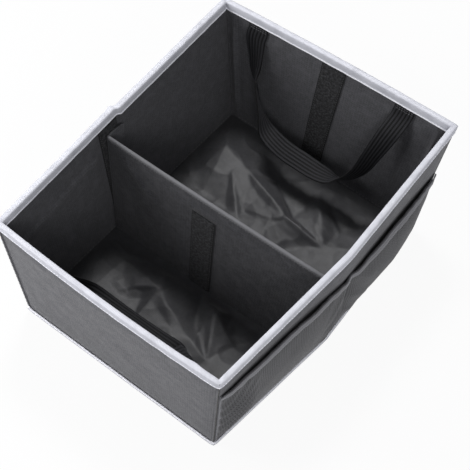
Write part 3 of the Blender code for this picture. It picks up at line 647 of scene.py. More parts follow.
print("mouth, mm:", [round(mouth_height(y) / MM) for y in (-HALF_L, POCKET_SEAM_Y, HALF_L)])

# %% Sew the covers
RIDGE_EDGES = (-SEAM_RIDGE_START, -SEAM_RIDGE_START + GAP, SEAM_RIDGE_START - GAP, SEAM_RIDGE_START)
for wall in WALLS:
    end_wall = wall in END_WALLS
    wall_sheet(
        f"{wall}_wall_cover", wall_node(wall, "cover"), wall, 0.0, HALF_W if end_wall else HALF_L - CLOTH - GAP,
        2 * MM, cover_relief(wall), cover_cloth, True, also=RIDGE_EDGES if end_wall else ())

# %% [markdown]
# ## Linings
# The inside walls are the cover's cloth in darker colours, which paint the shade inside the box. They are
# sewn in under the tape and again round the floor. At the corners the spare cloth stands in a soft upright
# tuck, and one long crease runs along the left lining. Where a loop strip is sewn on, the cloth lies flat, so
# the relief fades there and the strip stays on the surface.


# %% Linings
STRIP_WIDTH, STRIP = 25 * MM, 1.2 * MM
SIDE_STRIP_Y = FOLD_Y - FOLD_GAP / 2 - GAP - STRIP_WIDTH / 2
LINING_FOOT = 2.4 * MM
END_STRIP_SLANT = 0.07


def strip_middle(wall, z):
    """Where the middle of a wall's loop strip runs: those of the end walls slant a little."""
    return END_STRIP_SLANT * (z - WALL_TOP) if wall in END_WALLS else SIDE_STRIP_Y


def lining_relief(wall):
    """How far a lining stands in: it swells, puckers under the tape and is tucked at the corners."""
    seed = 40 + 3.7 * WALLS.index(wall)
    end_wall, half = wall in END_WALLS, wall_half(wall)

    def relief(a, z):
        off_strip = smooth_step((abs(a - strip_middle(wall, z)) - 15 * MM) / (12 * MM))
        below_tape = TAPE_FOOT - z
        free = (smooth_step(below_tape / (16 * MM)) * smooth_step((z - 6 * MM) / (16 * MM))
                * smooth_step((half - WALL - abs(a)) / (10 * MM)) * off_strip)
        swell = 1.5 * MM * ripple(a, z, 38 * MM, seed) + 0.5 * MM * ripple(a, z, 12 * MM, seed + 3)
        pucker = 0.3 * MM * ripple(a, 0.3 * z, 8 * MM, seed + 7) * math.exp(-max(0.0, below_tape) / (8 * MM))
        tuck = 0.0
        if wall == "left" and a < -12 * MM:
            crease = WALL_TOP - 44 * MM + 0.12 * (a + 90 * MM)
            swell += 2.6 * MM * hump(z - crease, 3.2 * MM) * smooth_step(-(a + 12 * MM) / (30 * MM))
        if end_wall:
            rise = 1.0 - abs(abs(a) - (half - WALL + CLOTH - 9 * MM)) / (4.5 * MM)
            clear = held(min(z - LINING_FOOT, below_tape) / (30 * MM))
            tuck = 3.0 * MM * clear * smooth_step(rise)
        return free * swell + tuck + pucker * off_strip * (below_tape > 0.2 * MM) * (z > 8 * MM)
    return relief


for wall in WALLS:
    end_wall = wall in END_WALLS
    half = HALF_W - WALL + CLOTH if end_wall else HALF_L - WALL + CLOTH - CLOTH - GAP
    tuck_lines = [s * (half - 9 * MM + k * 2.25 * MM) for s in (-1, 1) for k in (-2, -1, 0, 1, 2)]
    wall_sheet(
        f"{wall}_wall_lining", wall_node(wall, "lining"), wall, WALL - CLOTH, half, LINING_FOOT,
        lining_relief(wall), shaded_lining_cloth, False, also=tuck_lines if end_wall else ())

# %% [markdown]
# ## Rim tape
# One ribbon is folded over the top of all four walls. A Bevel on a curve could sweep it, but the corners are
# square turns where the ribbon is folded, and a swept curve would round them. So its section is carried
# along the four sides by hand, mitred at each corner, with a dent where the fold is pressed in. Both edges
# of the ribbon are thicker, as a woven edge is, and the needle draws it in along its lower part.


# %% Stations round the box
def round_trip(step, also):
    """Stations round the box: wall, share of its half length, and distance from the start."""
    trip, run = [], 0.0
    for wall, half, way in (("near", HALF_W, 1), ("right", HALF_L, 1), ("far", HALF_W, -1), ("left", HALF_L, -1)):
        near_corner = [s * (half - d * MM) for s in (-1, 1) for d in (0.7, 1.6, 2.8, 4.2, 6)]
        places = spread(-half, half, step, near_corner + [a for w, a in also if w == wall])
        trip += [(wall, way * p / half, run + half + p) for p in places[:-1]]
        run += 2 * half
    return trip, run


def ring_spot(wall, share, out, z):
    """A point at a share of one side, out from the walls: the four sides meet in mitred corners."""
    across, along = HALF_W + out, HALF_L + out
    return {"near": (share * across, -along, z), "far": (share * across, along, z),
            "left": (-across, share * along, z), "right": (across, share * along, z)}[wall]


def offset_line(line, depth):
    """The same open line moved to its right by the given depth."""
    moved = []
    for i, here in enumerate(line):
        ahead, behind = line[min(i + 1, len(line) - 1)], line[max(i - 1, 0)]
        way = Vector((ahead[0] - behind[0], ahead[1] - behind[1])).normalized()
        moved.append((here[0] + way.y * depth, here[1] - way.x * depth))
    return moved


print("stations at 2 mm:", len(round_trip(2 * MM, ())[0]))


# %% Section of the ribbon
def tape_section():
    """The ribbon's outer face from its outer edge over the top to its inner edge: out, z."""
    top, outer, inner = WALL_TOP + GAP + CLOTH, GAP + CLOTH, -(WALL + GAP + CLOTH)
    middle, reach = (outer + inner) / 2, (outer - inner) / 2
    outer_leg = [(outer + out * MM, TAPE_FOOT + up * MM)
                 for out, up in ((0.28, 0), (0.42, 0.7), (0.1, 1.5), (0.05, 2.4), (0.3, 4.2), (0.35, 6))]
    arc = [(middle + (reach + 0.2 * MM) * math.cos(turn), top - 1.7 * MM + 1.8 * MM * math.sin(turn) ** 0.45)
           for turn in (math.pi * k / 8 for k in range(9))]
    inner_leg = [(inner - (x - outer) * 0.8, z) for x, z in reversed(outer_leg)]
    return outer_leg + arc + inner_leg


SECTION = tape_section()
SECTION_BACK = offset_line(SECTION, -0.55 * MM)
FOLD_STATIONS = [("left", FOLD_Y + d * MM) for d in (-7, -5.5, -4.2, -3.2, -2.4, -1.7, -1, -0.3, 0.5, 1.4, 2.5, 4)]
rim_trip, rim_length = round_trip(1.9 * MM, FOLD_STATIONS)


# %% Rim tape
def rim_shift(wall, share, level):
    """How far the ribbon stands out or in at a station. level is 1 on the outer leg, 0 on top, -1 inside."""
    half = wall_half(wall)
    along = share * half
    from_corner = half - abs(along)
    right_end = (wall == "near" and along > 0) or (wall == "right" and along < 0)
    notch = 0.3 if right_end else 1.0
    press = notch * hump(from_corner, 1.3 * MM)
    seed = WALLS.index(wall) * 5.0
    waver = 0.5 * MM * (ripple(along, 0, 34 * MM, seed) - 0.5) + 0.3 * MM * (ripple(along, 0, 9 * MM, seed + 2) - 0.5)
    out = level * (0.35 * MM * ripple(along, 0, 11 * MM, seed + 4) - 0.75 * MM * press) + 0.3 * waver
    lift = 0.6 * waver - 0.9 * MM * press
    if right_end:
        corner = hump(from_corner, 3.5 * MM)
        out -= 0.9 * MM * corner * (level > 0)
        lift -= 0.4 * MM * corner
    if wall == "left":
        past = along - FOLD_Y
        near_half = hump(past + 4.6 * MM, 2.6 * MM)
        dent = hump(past + 0.4 * MM, 1.1 * MM)
        out += 0.9 * MM * near_half * (level > 0) - 1.1 * MM * dent * level
        lift += 0.5 * MM * near_half - 1.2 * MM * dent
    if wall == "near" and level < 0:
        out -= 0.9 * MM * hump(along - 96 * MM, 6 * MM)
    return out, lift


def sweep_band(name, node, trip, length, sections, shift, look):
    """Carries a front and a back section round the box."""
    faces = ([], [])
    low = min(z for _, z in sections[0])
    high = max(z for _, z in sections[0])
    middle = sum(x for x, _ in sections[0]) / len(sections[0])
    for wall, share, _ in trip:
        for face, section in zip(faces, sections):
            row = []
            for x, z in section:
                near_top = smooth_step((z - low) / (high - low) * 1.6 - 0.6)
                level = (1 if x > middle else -1) * (1 - near_top)
                out, lift = shift(wall, share, level)
                row.append(settle(ring_spot(wall, share, x + out, z + lift * (0.35 + 0.65 * near_top))))
            face.append(row)
    cut = flat_cut([distance for _, _, distance in trip], run_along(sections[0]))
    return make_shell(name, faces, cut, look, node, wrap=length)


rim_tape = sweep_band("rim_tape", "rim_binding", rim_trip, rim_length, (SECTION, SECTION_BACK), rim_shift,
                      tape_look)
print("faces of the rim tape:", len(rim_tape.data.polygons))

# %% [markdown]
# ## Bottom cloth and base tape
# The bottom is one panel whose edge turns up a millimetre into a seam flange, and a narrow folded ribbon
# binds that flange. Its section is a small U on its side, with a rounded top.

# %% Bottom cloth and base tape
FLANGE, FLANGE_LIFT, FLANGE_RAMP = 1.5 * MM, 1.0 * MM, 2.4 * MM
reach_x, reach_y = HALF_W + FLANGE, HALF_L + FLANGE
ramp_x, ramp_y = HALF_W - FLANGE_RAMP, HALF_L - FLANGE_RAMP
bottom_x = spread(-reach_x, reach_x, 4 * MM, (-HALF_W + GAP, -ramp_x, ramp_x, HALF_W - GAP))
bottom_y = spread(-reach_y, reach_y, 4 * MM, (-HALF_L + GAP, -ramp_y, ramp_y, HALF_L - GAP))


def bottom_spot(x, y, z):
    """A point of the bottom: the cloth is hollow in the middle and its edge turns up into the flange."""
    outward = held(max(abs(x) - ramp_x, abs(y) - ramp_y) / (FLANGE_RAMP - GAP))
    inside = smooth_step(min(ramp_x - abs(x), ramp_y - abs(y)) / (12 * MM))
    hollow = 0.22 * MM * inside * ripple(x, y, 30 * MM, 77) * (ripple(x, y, 9 * MM, 5) > 0.1)
    return x, y, z + outward * FLANGE_LIFT + hollow


bottom_grids = [settled_grid(bottom_x, bottom_y, lambda x, y: bottom_spot(x, y, z)) for z in (0.0, CLOTH)]
bottom = make_shell("bottom_cloth", bottom_grids, flat_cut(bottom_x, bottom_y), cover_cloth,
                    "bottom_cover")

edge = FLANGE + GAP + CLOTH
BASE_SECTION = [(0.5 * MM, 0.1 * MM), (1.1 * MM, 0.1 * MM), (1.9 * MM, 0.1 * MM), (edge + 0.2 * MM, 0.2 * MM),
                (edge + 0.6 * MM, 0.7 * MM), (edge + 0.75 * MM, 1.4 * MM), (edge + 0.65 * MM, 2.05 * MM),
                (edge + 0.3 * MM, 2.5 * MM), (2.2 * MM, 2.68 * MM), (1.7 * MM, 2.7 * MM), (1.2 * MM, 2.65 * MM),
                (0.8 * MM, 2.4 * MM)]


def base_shift(wall, share, level):
    """The same for the base ribbon, which moves as one, so its level doesn't count."""
    half = wall_half(wall)
    along = share * half
    press = hump(half - abs(along), 3.0 * MM)
    waver = ripple(along, 0, 34 * MM, WALLS.index(wall) + 60.0)
    return 0.3 * MM * waver - 1.0 * MM * press, 0.0


base_trip, base_length = round_trip(2.2 * MM, ())
base_tape = sweep_band("base_tape", "base_binding", base_trip, base_length,
                       (BASE_SECTION, offset_line(BASE_SECTION, -0.45 * MM)), base_shift, base_tape_look)

# %% [markdown]
# ## Loop strips
# Black loop tape is sewn down the middle of both end walls, beside both side folds and on the divider. Its
# brushed face stands up between two flat edges. A particle system could grow the loops, but from a step
# away they read as a rough, matt pile, so fine noise lifts the face and the finish adds the fuzz.


# %% Loop strips
STITCH_GAP = 0.35 * MM
DIVIDER_TOP, DIVIDER_FOOT = WALL_TOP - 20 * MM, 6 * MM
DIVIDER_TOP_Y, DIVIDER_FOOT_Y = -22 * MM, -34 * MM
SLEEVE = CARD / 2 + GAP + CLOTH
DIVIDER_STRIP_OFF, FOLD_SEAM = 7 * MM, 3.8 * MM


def divider_y(z):
    """Where the middle of the divider's card stands: it leans a little towards the far end."""
    share = (z - DIVIDER_FOOT) / (DIVIDER_TOP - DIVIDER_FOOT)
    return DIVIDER_FOOT_Y + share * (DIVIDER_TOP_Y - DIVIDER_FOOT_Y)


def pile_face(a, z, seed):
    """Height of the brushed face: low at the sewn edges, rough between."""
    edge = STRIP_WIDTH / 2 - abs(a)
    risen = smooth_step((edge - 1.2 * MM) / (1.4 * MM))
    rough = 0.55 * MM * ripple(a, z, 2.3 * MM, seed)
    return STRIP * (0.45 + 0.4 * risen) + risen * rough - 0.1 * MM * (edge < 1 * MM)


def strip_piece(name, node, foot, top, seed, place):
    """place(a, z, height) gives the straight-box point of the strip's face at that height off its ground."""
    across = spread(-STRIP_WIDTH / 2, STRIP_WIDTH / 2, 1.0 * MM)
    heights = spread(foot, top, 1.25 * MM)
    front = settled_grid(across, heights, lambda a, z: place(a, z, pile_face(a, z, seed)))
    back = settled_grid(across, heights, lambda a, z: place(a, z, 0.0))
    return make_shell(name, (front, back), flat_cut(across, heights), loop_look, node)


for wall in WALLS:
    def on_wall(a, z, height, wall=wall):
        return wall_spot(wall, strip_middle(wall, z) + a, WALL + STITCH_GAP + height, z)
    strip_piece(f"{wall}_wall_loop_tape", wall + "_loop_strip", 12 * MM, TAPE_FOOT - GAP,
                               11.0 + WALLS.index(wall), on_wall)

strip_piece(
    "divider_loop_tape", "divider_loop_strip", DIVIDER_FOOT, WALL_TOP - 43 * MM, 19.0,
    lambda a, z, height: (a - DIVIDER_STRIP_OFF, divider_y(z) - SLEEVE - STITCH_GAP - height, z))
for wall in WALLS:
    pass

# %% [markdown]
# ## Divider
# The divider is a card in a folded cloth sleeve. At each end a flap of cloth turns away along the side
# wall, with hook tape on its hidden face that grips the loop tape of the wall. The sleeve's fold stands as a
# soft roll along the top, and a row of stitches pulls the cloth in a few millimetres below it. On the near
# side a few long pulls fan out from the upper left corner.


# %% Divider sleeve
SLEEVE_HALF = HALF_W - WALL - STITCH_GAP - STRIP - GAP - STRIP - GAP - CLOTH - GAP
sleeve_line = [(-SLEEVE, z) for z in spread(DIVIDER_FOOT, DIVIDER_TOP - 8 * MM, 3 * MM)]
sleeve_line += [(-SLEEVE, DIVIDER_TOP - d * MM) for d in (6.5, 5.2, 4.4, 3.8, 3.2, 2.4)]
sleeve_line += [(-1.7 * MM * math.cos(math.pi * k / 8), DIVIDER_TOP - 1.6 * MM + 1.7 * MM * math.sin(math.pi * k / 8))
                for k in range(9)]
sleeve_line += [(-y, z) for y, z in reversed(sleeve_line[:-9])]
sleeve_inner = offset_line(sleeve_line, 0.58 * MM)
sleeve_run = run_along(sleeve_line)
divider_x = spread(-SLEEVE_HALF, SLEEVE_HALF, 2.6 * MM)


def sleeve_relief(x, y, z):
    """How far the sleeve's cloth stands off its card, on the near side (y below 0) or the far one."""
    side = -1 if y < 0 else 1
    below = DIVIDER_TOP - z
    behind_strip = side < 0 and z < WALL_TOP - 40 * MM
    off_strip = smooth_step((abs(x + DIVIDER_STRIP_OFF) - 15 * MM) / (10 * MM)) if behind_strip else 1.0
    free = smooth_step((below - 5 * MM) / (14 * MM)) * smooth_step((z - DIVIDER_FOOT) / (20 * MM)) * off_strip
    ends = smooth_step((SLEEVE_HALF - abs(x)) / (10 * MM))
    swell = 1.5 * MM * ripple(x, z, 40 * MM, 21 + side) + 0.6 * MM * ripple(x + 0.6 * z, 0.35 * z, 9 * MM, 23 + side)
    seam = 0.25 * MM * hump(below - FOLD_SEAM, 0.8 * MM) if below > 2 * MM else 0.0
    pucker = 0.35 * MM * ripple(x, 0, 7 * MM, 25) * hump(below - 5.5 * MM, 2.5 * MM)
    reach, fan = math.hypot(x + SLEEVE_HALF, below), math.atan2(below, x + SLEEVE_HALF)
    fades = smooth_step(reach / (24 * MM)), smooth_step((100 * MM - reach) / (60 * MM))
    pulled = max(0.0, math.sin(11 * fan - 0.4)) ** 3 * fades[0] * fades[1]
    pull = 2.4 * MM * pulled * smooth_step((1.0 - fan) * 3) if side < 0 else 0.0
    return side * (free * ends * (swell + pull) + pucker - seam)


sleeve_faces = ([], [])
for x in divider_x:
    for face, line in zip(sleeve_faces, (sleeve_line, sleeve_inner)):
        face.append([settle((x, divider_y(z) + y + sleeve_relief(x, outer_y, outer_z), z))
                     for (y, z), (outer_y, outer_z) in zip(line, sleeve_line)])
sleeve = make_shell("divider_cloth_sleeve", sleeve_faces, flat_cut(divider_x, sleeve_run), shaded_sleeve_cloth,
                    "divider_sleeve")
print("sleeve, mm round the fold:", round(sleeve_run[-1] / MM))

# %% Divider flaps and hook tape
FLAP_LENGTH = 20 * MM
HOOK_DEPTH = WALL + STITCH_GAP + STRIP + GAP
FLAP_DEPTH = HOOK_DEPTH + STRIP + GAP
for side, name in ((-1, "left"), (1, "right")):
    hook_y = spread(-SLEEVE + CLOTH, FLAP_LENGTH - 2 * CLOTH, 1.2 * MM)
    hook_z = spread(12 * MM, DIVIDER_TOP - CLOTH, 1.6 * MM)
    grids = ([], [])
    for y in hook_y:
        rough = [0.28 * MM * ripple(y, z, 1.9 * MM, 31.0) for z in hook_z]
        depths = ([HALF_W - HOOK_DEPTH - 0.3 * MM + r for r in rough], [HALF_W - HOOK_DEPTH - STRIP] * len(hook_z))
        add_rows(grids, [[settle((side * x, divider_y(z) + y, z)) for x, z in zip(row, hook_z)] for row in depths])
    hook = make_shell(f"divider_hook_tape_{name}_sewn", grids, flat_cut(hook_y, hook_z), hook_look,
                      f"divider_hook_tape_{name}")
    flap_y, flap_z = spread(-SLEEVE, FLAP_LENGTH, 1.5 * MM), spread(DIVIDER_FOOT, DIVIDER_TOP, 2.4 * MM)
    grids = ([], [])
    for y in flap_y:
        free = 0.9 * MM * smooth_step((y - 4 * MM) / (16 * MM))
        lift = [free * ripple(y, z, 22 * MM, 35.0 + side) for z in flap_z]
        for grid, depth in zip(grids, (FLAP_DEPTH + CLOTH, FLAP_DEPTH)):
            grid.append([settle((side * (HALF_W - depth - more), divider_y(z) + y, z))
                         for z, more in zip(flap_z, lift)])
    make_shell(f"divider_end_flap_{name}", grids, flat_cut(flap_y, flap_z), shaded_lining_cloth,
                             f"divider_flap_{name}")

# %% [markdown]
# ## Loose floor cloth
# The floor cloth is larger than the floor, sewn along the walls, and lies in creases, which show its slight
# lustre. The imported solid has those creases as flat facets. A ray cast down at each point of a fine grid
# reads its height, three rounds of averaging turn the facets into cloth, and they are raised by nearly half.
# Folds, each with a gentle and a steep side, and small wrinkles are added.


# %% Facets of the floor cloth
facets = BVHTree.FromPolygons([v.co.copy() for v in nodes["floor_cloth"].data.vertices],
                              [tuple(p.vertices) for p in nodes["floor_cloth"].data.polygons])
FLOOR_LOW, FACET_RAISE = 3.0 * MM, 0.45
floor_x = spread(-(HALF_W - WALL - GAP), HALF_W - WALL - GAP, 1.4 * MM)
floor_y = spread(-(HALF_L - WALL - GAP), HALF_L - WALL - GAP, 1.4 * MM)
ground = []
for x in floor_x:
    row = []
    for y in floor_y:
        spot = settle((x, y, FLOOR_LOW))
        hit = facets.ray_cast(Vector((spot.x, spot.y, 0.1)), Vector((0, 0, -1)))[0]
        row.append(hit.z if hit else FLOOR_LOW)
    ground.append(row)


print("highest facet, mm:", round(max(max(row) for row in ground) / MM, 1))


# %% Folds of the floor cloth
def soften(grid, rounds):
    """Averages each inner height with its neighbours."""
    for _ in range(rounds):
        last = [row[:] for row in grid]
        for i in range(1, len(grid) - 1):
            for j in range(1, len(grid[0]) - 1):
                around = last[i - 1][j] + last[i + 1][j] + last[i][j - 1] + last[i][j + 1]
                grid[i][j] = 0.5 * last[i][j] + 0.125 * around
    return grid


# Sharper folds over the facets: start, end, height, and how far the gentle and the steep side reach, in mm.
# The steep side lies to the right of the way from start to end.
FOLDS = (
    (-89, 116, -77, 66, 3.2, 28, 10.5), (-68, 96, -31, 56, 2.9, 25, 6.8), (-48, 103, 12, 81, 3.6, 30, 7.5),
    (-28, 65, 4, 70, 2.4, 20, 5.2), (4, 70, 13, 80, 3, 15, 5.2), (14, 80, 62, 82, 2.9, 22, 6),
    (4, 69, 27, 56, 2.3, 18, 6), (24, 118, 55, 96, 2.9, 19, 12), (46, 132, 68, 116, 2.4, 15, 10.5),
    (-73, -86, -54, -89, 2.4, 18, 5.4), (-54, -89, -32, -69, 3.2, 20, 5.4), (-33, -69, -36, -48, 2.3, 14, 7.5),
    (-21, -75, 20, -90, 3.2, 25, 6.8), (20, -90, 55, -101, 2.9, 20, 6.8), (24, -50, 56, -100, 3.6, 20, 6),
    (46, -38, 52, -66, 2.3, 15, 7.5), (54, -64, 76, -46, 2.4, 15, 6.8),
)


def fold_height(x, y):
    """The tallest fold at a place: each one tapers to nothing at its ends."""
    tallest = 0.0
    for x0, y0, x1, y1, height, gentle, steep in FOLDS:
        way = Vector((x1 - x0, y1 - y0))
        off = Vector((x / MM - x0, y / MM - y0))
        along = off.dot(way) / way.length_squared
        if -0.3 < along < 1.3:
            side = (off.x * way.y - off.y * way.x) / way.length
            reach = steep if side > 0 else gentle
            taper = smooth_step((along + 0.3) / 0.6) * smooth_step((1.3 - along) / 0.6)
            tallest = max(tallest, height * MM * taper * max(0.0, 1.0 - abs(side) / (reach * 1.4)) ** 1.1)
    return tallest


print("folds:", len(FOLDS))

# %% Loose floor cloth
ground = soften(ground, 3)
floor_faces = ([], [])
for i, x in enumerate(floor_x):
    rows = ([], [])
    for j, y in enumerate(floor_y):
        inside = smooth_step(min(HALF_W - WALL - abs(x), HALF_L - WALL - abs(y)) / (16 * MM) - 0.1)
        clear = inside * smooth_step((abs(y - DIVIDER_FOOT_Y) - 6 * MM) / (10 * MM))
        crease = 1.0 - abs(2.0 * ripple(x + 0.4 * y, y - 0.3 * x, 27 * MM, 51.0) - 1.0)
        fold = fold_height(x, y) + 0.8 * MM * crease ** 3 + 0.35 * MM * ripple(x, y, 8 * MM, 53.0)
        spot = settle((x, y, FLOOR_LOW))
        top = ground[i][j] + clear * (FACET_RAISE * (ground[i][j] - FLOOR_LOW) + fold)
        rows[0].append(Vector((spot.x, spot.y, top)))
        rows[1].append(Vector((spot.x, spot.y, top - CLOTH)))
    add_rows(floor_faces, rows)
floor_sheet = make_shell("loose_floor_cloth", floor_faces, flat_cut(floor_x, floor_y), floor_look,
                         "floor_cloth")
print("floor grid:", len(floor_x), "x", len(floor_y))

# %% [markdown]
# ## Handles
# Each handle is a length of elastic webbing, sewn by both ends under the tape and hanging in a twisting loop
# inside the end wall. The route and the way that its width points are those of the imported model. The
# section has the six cord ribs, so the loop glints along its length where it turns.


# %% Routes of the handles
STRAP_WIDTH = 20 * MM
RIB_HEIGHT, RIB_SINK, DISH_DEPTH = 0.42 * MM, 0.2 * MM, 0.5 * MM
FAR_ENDS, NEAR_ENDS = (-81 * MM, 73 * MM), (-77 * MM, 74 * MM)
# Stations of each loop: across, off the wall and below the rim in mm, then where the width points.
FAR_LOOP = (
    (-83, 2, 27, 1, 0, 0), (-81, 5, 50, 0.92, 0.35, 0), (-79, 9, 64, 0.78, 0.6, 0),
    (-72, 15, 76, 0.6, 0.8, 0), (-63, 22, 89, 0.58, 0.8, 0), (-48, 30, 105, 0.3, 0.93, -0.2),
    (-26, 35, 110, -0.08, 0.9, -0.42), (0, 36, 111, -0.1, 0.9, -0.4), (23, 35, 112, -0.15, 0.95, -0.1),
    (42, 32, 109, -0.35, 0.8, 0.5), (57, 27, 90, -0.6, 0.7, 0.45), (64, 19, 63, -0.8, 0.5, 0.3),
    (69, 11, 39, -0.95, 0.2, 0.1), (72, 3, 24, -1, 0, 0),
)
NEAR_LOOP = (
    (-77, 3, 26, 1, 0, 0), (-78, 8, 47, 0.92, 0.35, 0), (-73, 14, 68, 0.75, 0.65, 0),
    (-64, 22, 86, 0.6, 0.8, 0), (-48, 29, 100, 0.3, 0.9, -0.2), (-24, 33, 108, 0, 0.9, -0.4),
    (2, 34, 110, 0, 0.9, -0.4), (26, 33, 108, -0.1, 0.95, -0.2), (46, 30, 100, -0.3, 0.9, 0.2),
    (60, 25, 84, -0.6, 0.75, 0.3), (69, 20, 62, -0.85, 0.5, 0.2), (72, 15, 38, -0.97, 0.2, 0.1),
    (74, 5, 22, -1, 0, 0),
)


print("stations of the loops:", len(FAR_LOOP), len(NEAR_LOOP))


# %% Handles
def blend(stations, place):
    """A smooth curve through the stations (Catmull and Rom's), at a place counted in stations."""
    last = len(stations) - 1
    index = min(int(place), last - 1)
    t = place - index
    a, b, c, d = (Vector(stations[min(max(i, 0), last)]) for i in (index - 1, index, index + 1, index + 2))
    return 0.5 * (2 * b + (c - a) * t + (2 * a - 5 * b + 4 * c - d) * t ** 2 + (3 * b - a - 3 * c + d) * t ** 3)


def make_handle(name, node, side, ends, loop, steps=270, ribs=6):
    """A handle on the wall at that side: its piece and its length. ends are where its two ends are sewn on."""
    face = HALF_L - WALL - GAP - STRIP / 2
    top, seam = WALL_TOP - 9.3 * MM, WALL_TOP - 14.5 * MM
    lifted = side * (face - 0.5 * MM)
    centres = [(ends[0], side * face, top), (ends[0], lifted, seam)]
    centres += [(x * MM, side * (face - off * MM), WALL_TOP - drop * MM) for x, off, drop, _, _, _ in loop]
    centres += [(ends[1], lifted, seam), (ends[1], side * face, top)]
    turns = [(x, -side * inward, up) for _, _, _, x, inward, up in loop]
    widths = [turns[0]] * 2 + turns + [turns[-1]] * 2
    last = len(centres) - 1
    across = [k / (6 * ribs) - 0.5 for k in range(6 * ribs + 1)]
    faces, cut, run, before = ([], []), [], 0.0, None
    for i in range(steps + 1):
        place = last * i / steps
        here = blend(centres, place)
        run += (here - before).length if before else 0.0
        before = here
        tangent = (blend(centres, min(place + 0.02, last)) - blend(centres, max(place - 0.02, 0.0))).normalized()
        width = blend(widths, place)
        width = (width - tangent * width.dot(tangent)).normalized()
        rows = ([], [])
        for share in across:
            rib = RIB_HEIGHT * abs(math.sin(math.pi * ribs * (share + 0.5))) - RIB_SINK
            dish = DISH_DEPTH * (share * 2) ** 2 * math.sin(math.pi * i / steps)
            for row, way in zip(rows, (1, -1)):
                depth = way * (STRIP / 2 + rib) + dish
                row.append(settle(here + width * share * STRAP_WIDTH + tangent.cross(width) * depth))
        add_rows(faces, rows)
        cut.append([(run, share * STRAP_WIDTH) for share in across])
    return make_shell(name, faces, cut, webbing_look, node), run


_, far_run = make_handle("far_webbing_handle", "far_handle", 1, FAR_ENDS, FAR_LOOP)
_, near_run = make_handle("near_webbing_handle", "near_handle", -1, NEAR_ENDS, NEAR_LOOP)
print("webbing lengths, mm:", round(far_run / MM), round(near_run / MM))

# %% [markdown]
# ## Mesh pocket
# The mesh is a little longer than the wall that it covers. It is sewn down at both ends, along the foot
# and at one seam in the middle, so it bellies out between them, gathers in slanting folds at the near
# corner and puckers along the foot. One function gives how far it stands off the wall. The elastic hem is a
# band of its own that follows the same function along the mouth.


# %% How far the mesh stands
POCKET_ROOM = HALF_W + STITCH_GAP


def pocket_stand(y, up):
    """How far the mesh stands off the wall: nothing at its seams, most a little below its mouth."""
    near_half = y < POCKET_SEAM_Y
    start, stop = (-POCKET_END, POCKET_SEAM_Y) if near_half else (POCKET_SEAM_Y, POCKET_END)
    deepest = (13 if near_half else 18) * MM
    along = held((y - start) / (stop - start))
    off_foot = 1.0 - (1.0 - up) ** 2.2
    towards_mouth = 1.0 - 0.86 * up ** 3
    fullness = 0.6 if near_half or along < 0.5 else 0.85
    belly = deepest * math.sin(math.pi * along) ** fullness * off_foot * towards_mouth
    from_corner = (y + POCKET_END) / (45 * MM)
    gathers = 0.0
    if from_corner < 1.0:
        fade = 2.6 * (1.0 - from_corner) * from_corner ** 0.5 * math.sin(math.pi * up)
        fold = 0.5 + 0.5 * math.sin(2 * math.pi * 6 * (up - 0.5 * from_corner))
        gathers = 3.6 * MM * fade * fold ** 2
    free = smooth_step(min(along, 1 - along) * 14)
    foot = 1.5 * MM * free * ripple(y, 0, 8 * MM, 71.0) * (1 - up) ** 2 * min(1.0, up * 14)
    waves = 0.6 * MM * ripple(y, 0, 10 * MM, 73.0) + 1.9 * MM * ripple(y, 0, 32 * MM, 74.0)
    mouth = waves * free * smooth_step((up - 0.6) / 0.4)
    off_seam = abs(y - POCKET_SEAM_Y) / (38 * MM)
    pulls = 0.0
    if off_seam < 1.0:
        slant = math.sin(2 * math.pi * (3.2 * up + (1.5 if near_half else 1.1) * off_seam) + 0.8)
        pulls = (1.7 * MM * held(0.5 + 0.5 * slant) ** 2 * 4 * off_seam * (1 - off_seam)
                 * math.sin(math.pi * held(up * 1.02)) ** 0.5)
    soft = 1.2 * MM * free * ripple(y, up * 110 * MM, 30 * MM, 75.0) * math.sin(math.pi * up)
    return belly + gathers + foot + mouth + pulls + soft


print("belly of its near half, mm:", round(pocket_stand(-HALF_L / 2, 0.5) / MM, 1))

# %% Mesh pocket and hem
pocket_y = spread(-POCKET_END, POCKET_END, 1.9 * MM, (POCKET_SEAM_Y,))
pocket_up = [k / 62 for k in range(63)]
pocket_faces, pocket_cut = ([], []), []
for y in pocket_y:
    height = mouth_height(y) - POCKET_FOOT
    stands = [pocket_stand(y, up) for up in pocket_up]
    for face, depth in zip(pocket_faces, (CLOTH, 0.0)):
        face.append([settle((POCKET_ROOM + depth + s, y, POCKET_FOOT + up * height))
                     for up, s in zip(pocket_up, stands)])
    pocket_cut.append([(y, up * height) for up in pocket_up])
pocket = make_shell("mesh_pocket", pocket_faces, pocket_cut, mesh_look, "pocket_mesh")

hem_y = spread(-POCKET_END, POCKET_END, 0.8 * MM, (POCKET_SEAM_Y,))
hem_profile = [0.0, 0.5, 1.1, 1.9, 2.7, 3.5, 4.3, 5.1, 5.6, 6.0]
hem_faces = ([], [])
for y in hem_y:
    top = mouth_height(y)
    rows = ([], [])
    for h in hem_profile:
        z = top - 6 * MM + h * MM
        up = min(1.0, (z - POCKET_FOOT) / (top - POCKET_FOOT))
        stand = POCKET_ROOM + CLOTH + STITCH_GAP + pocket_stand(y, up)
        crown = 0.45 * MM * math.sin(math.pi * h / 6) ** 0.5 + 0.22 * MM * math.sin(2 * math.pi * y / (2.1 * MM))
        shirr = 0.35 * MM * ripple(y, h * MM, 5 * MM, 79.0)
        rows[0].append(settle((stand + 0.7 * MM + crown + shirr, y, z)))
        rows[1].append(settle((stand, y, z)))
    add_rows(hem_faces, rows)
hem = make_shell("pocket_elastic_hem", hem_faces, flat_cut(hem_y, [h * MM for h in hem_profile]), hem_look,
                 "pocket_hem")
print("pocket grid:", len(pocket_y), "x", len(pocket_up), "hem:", len(hem_y))

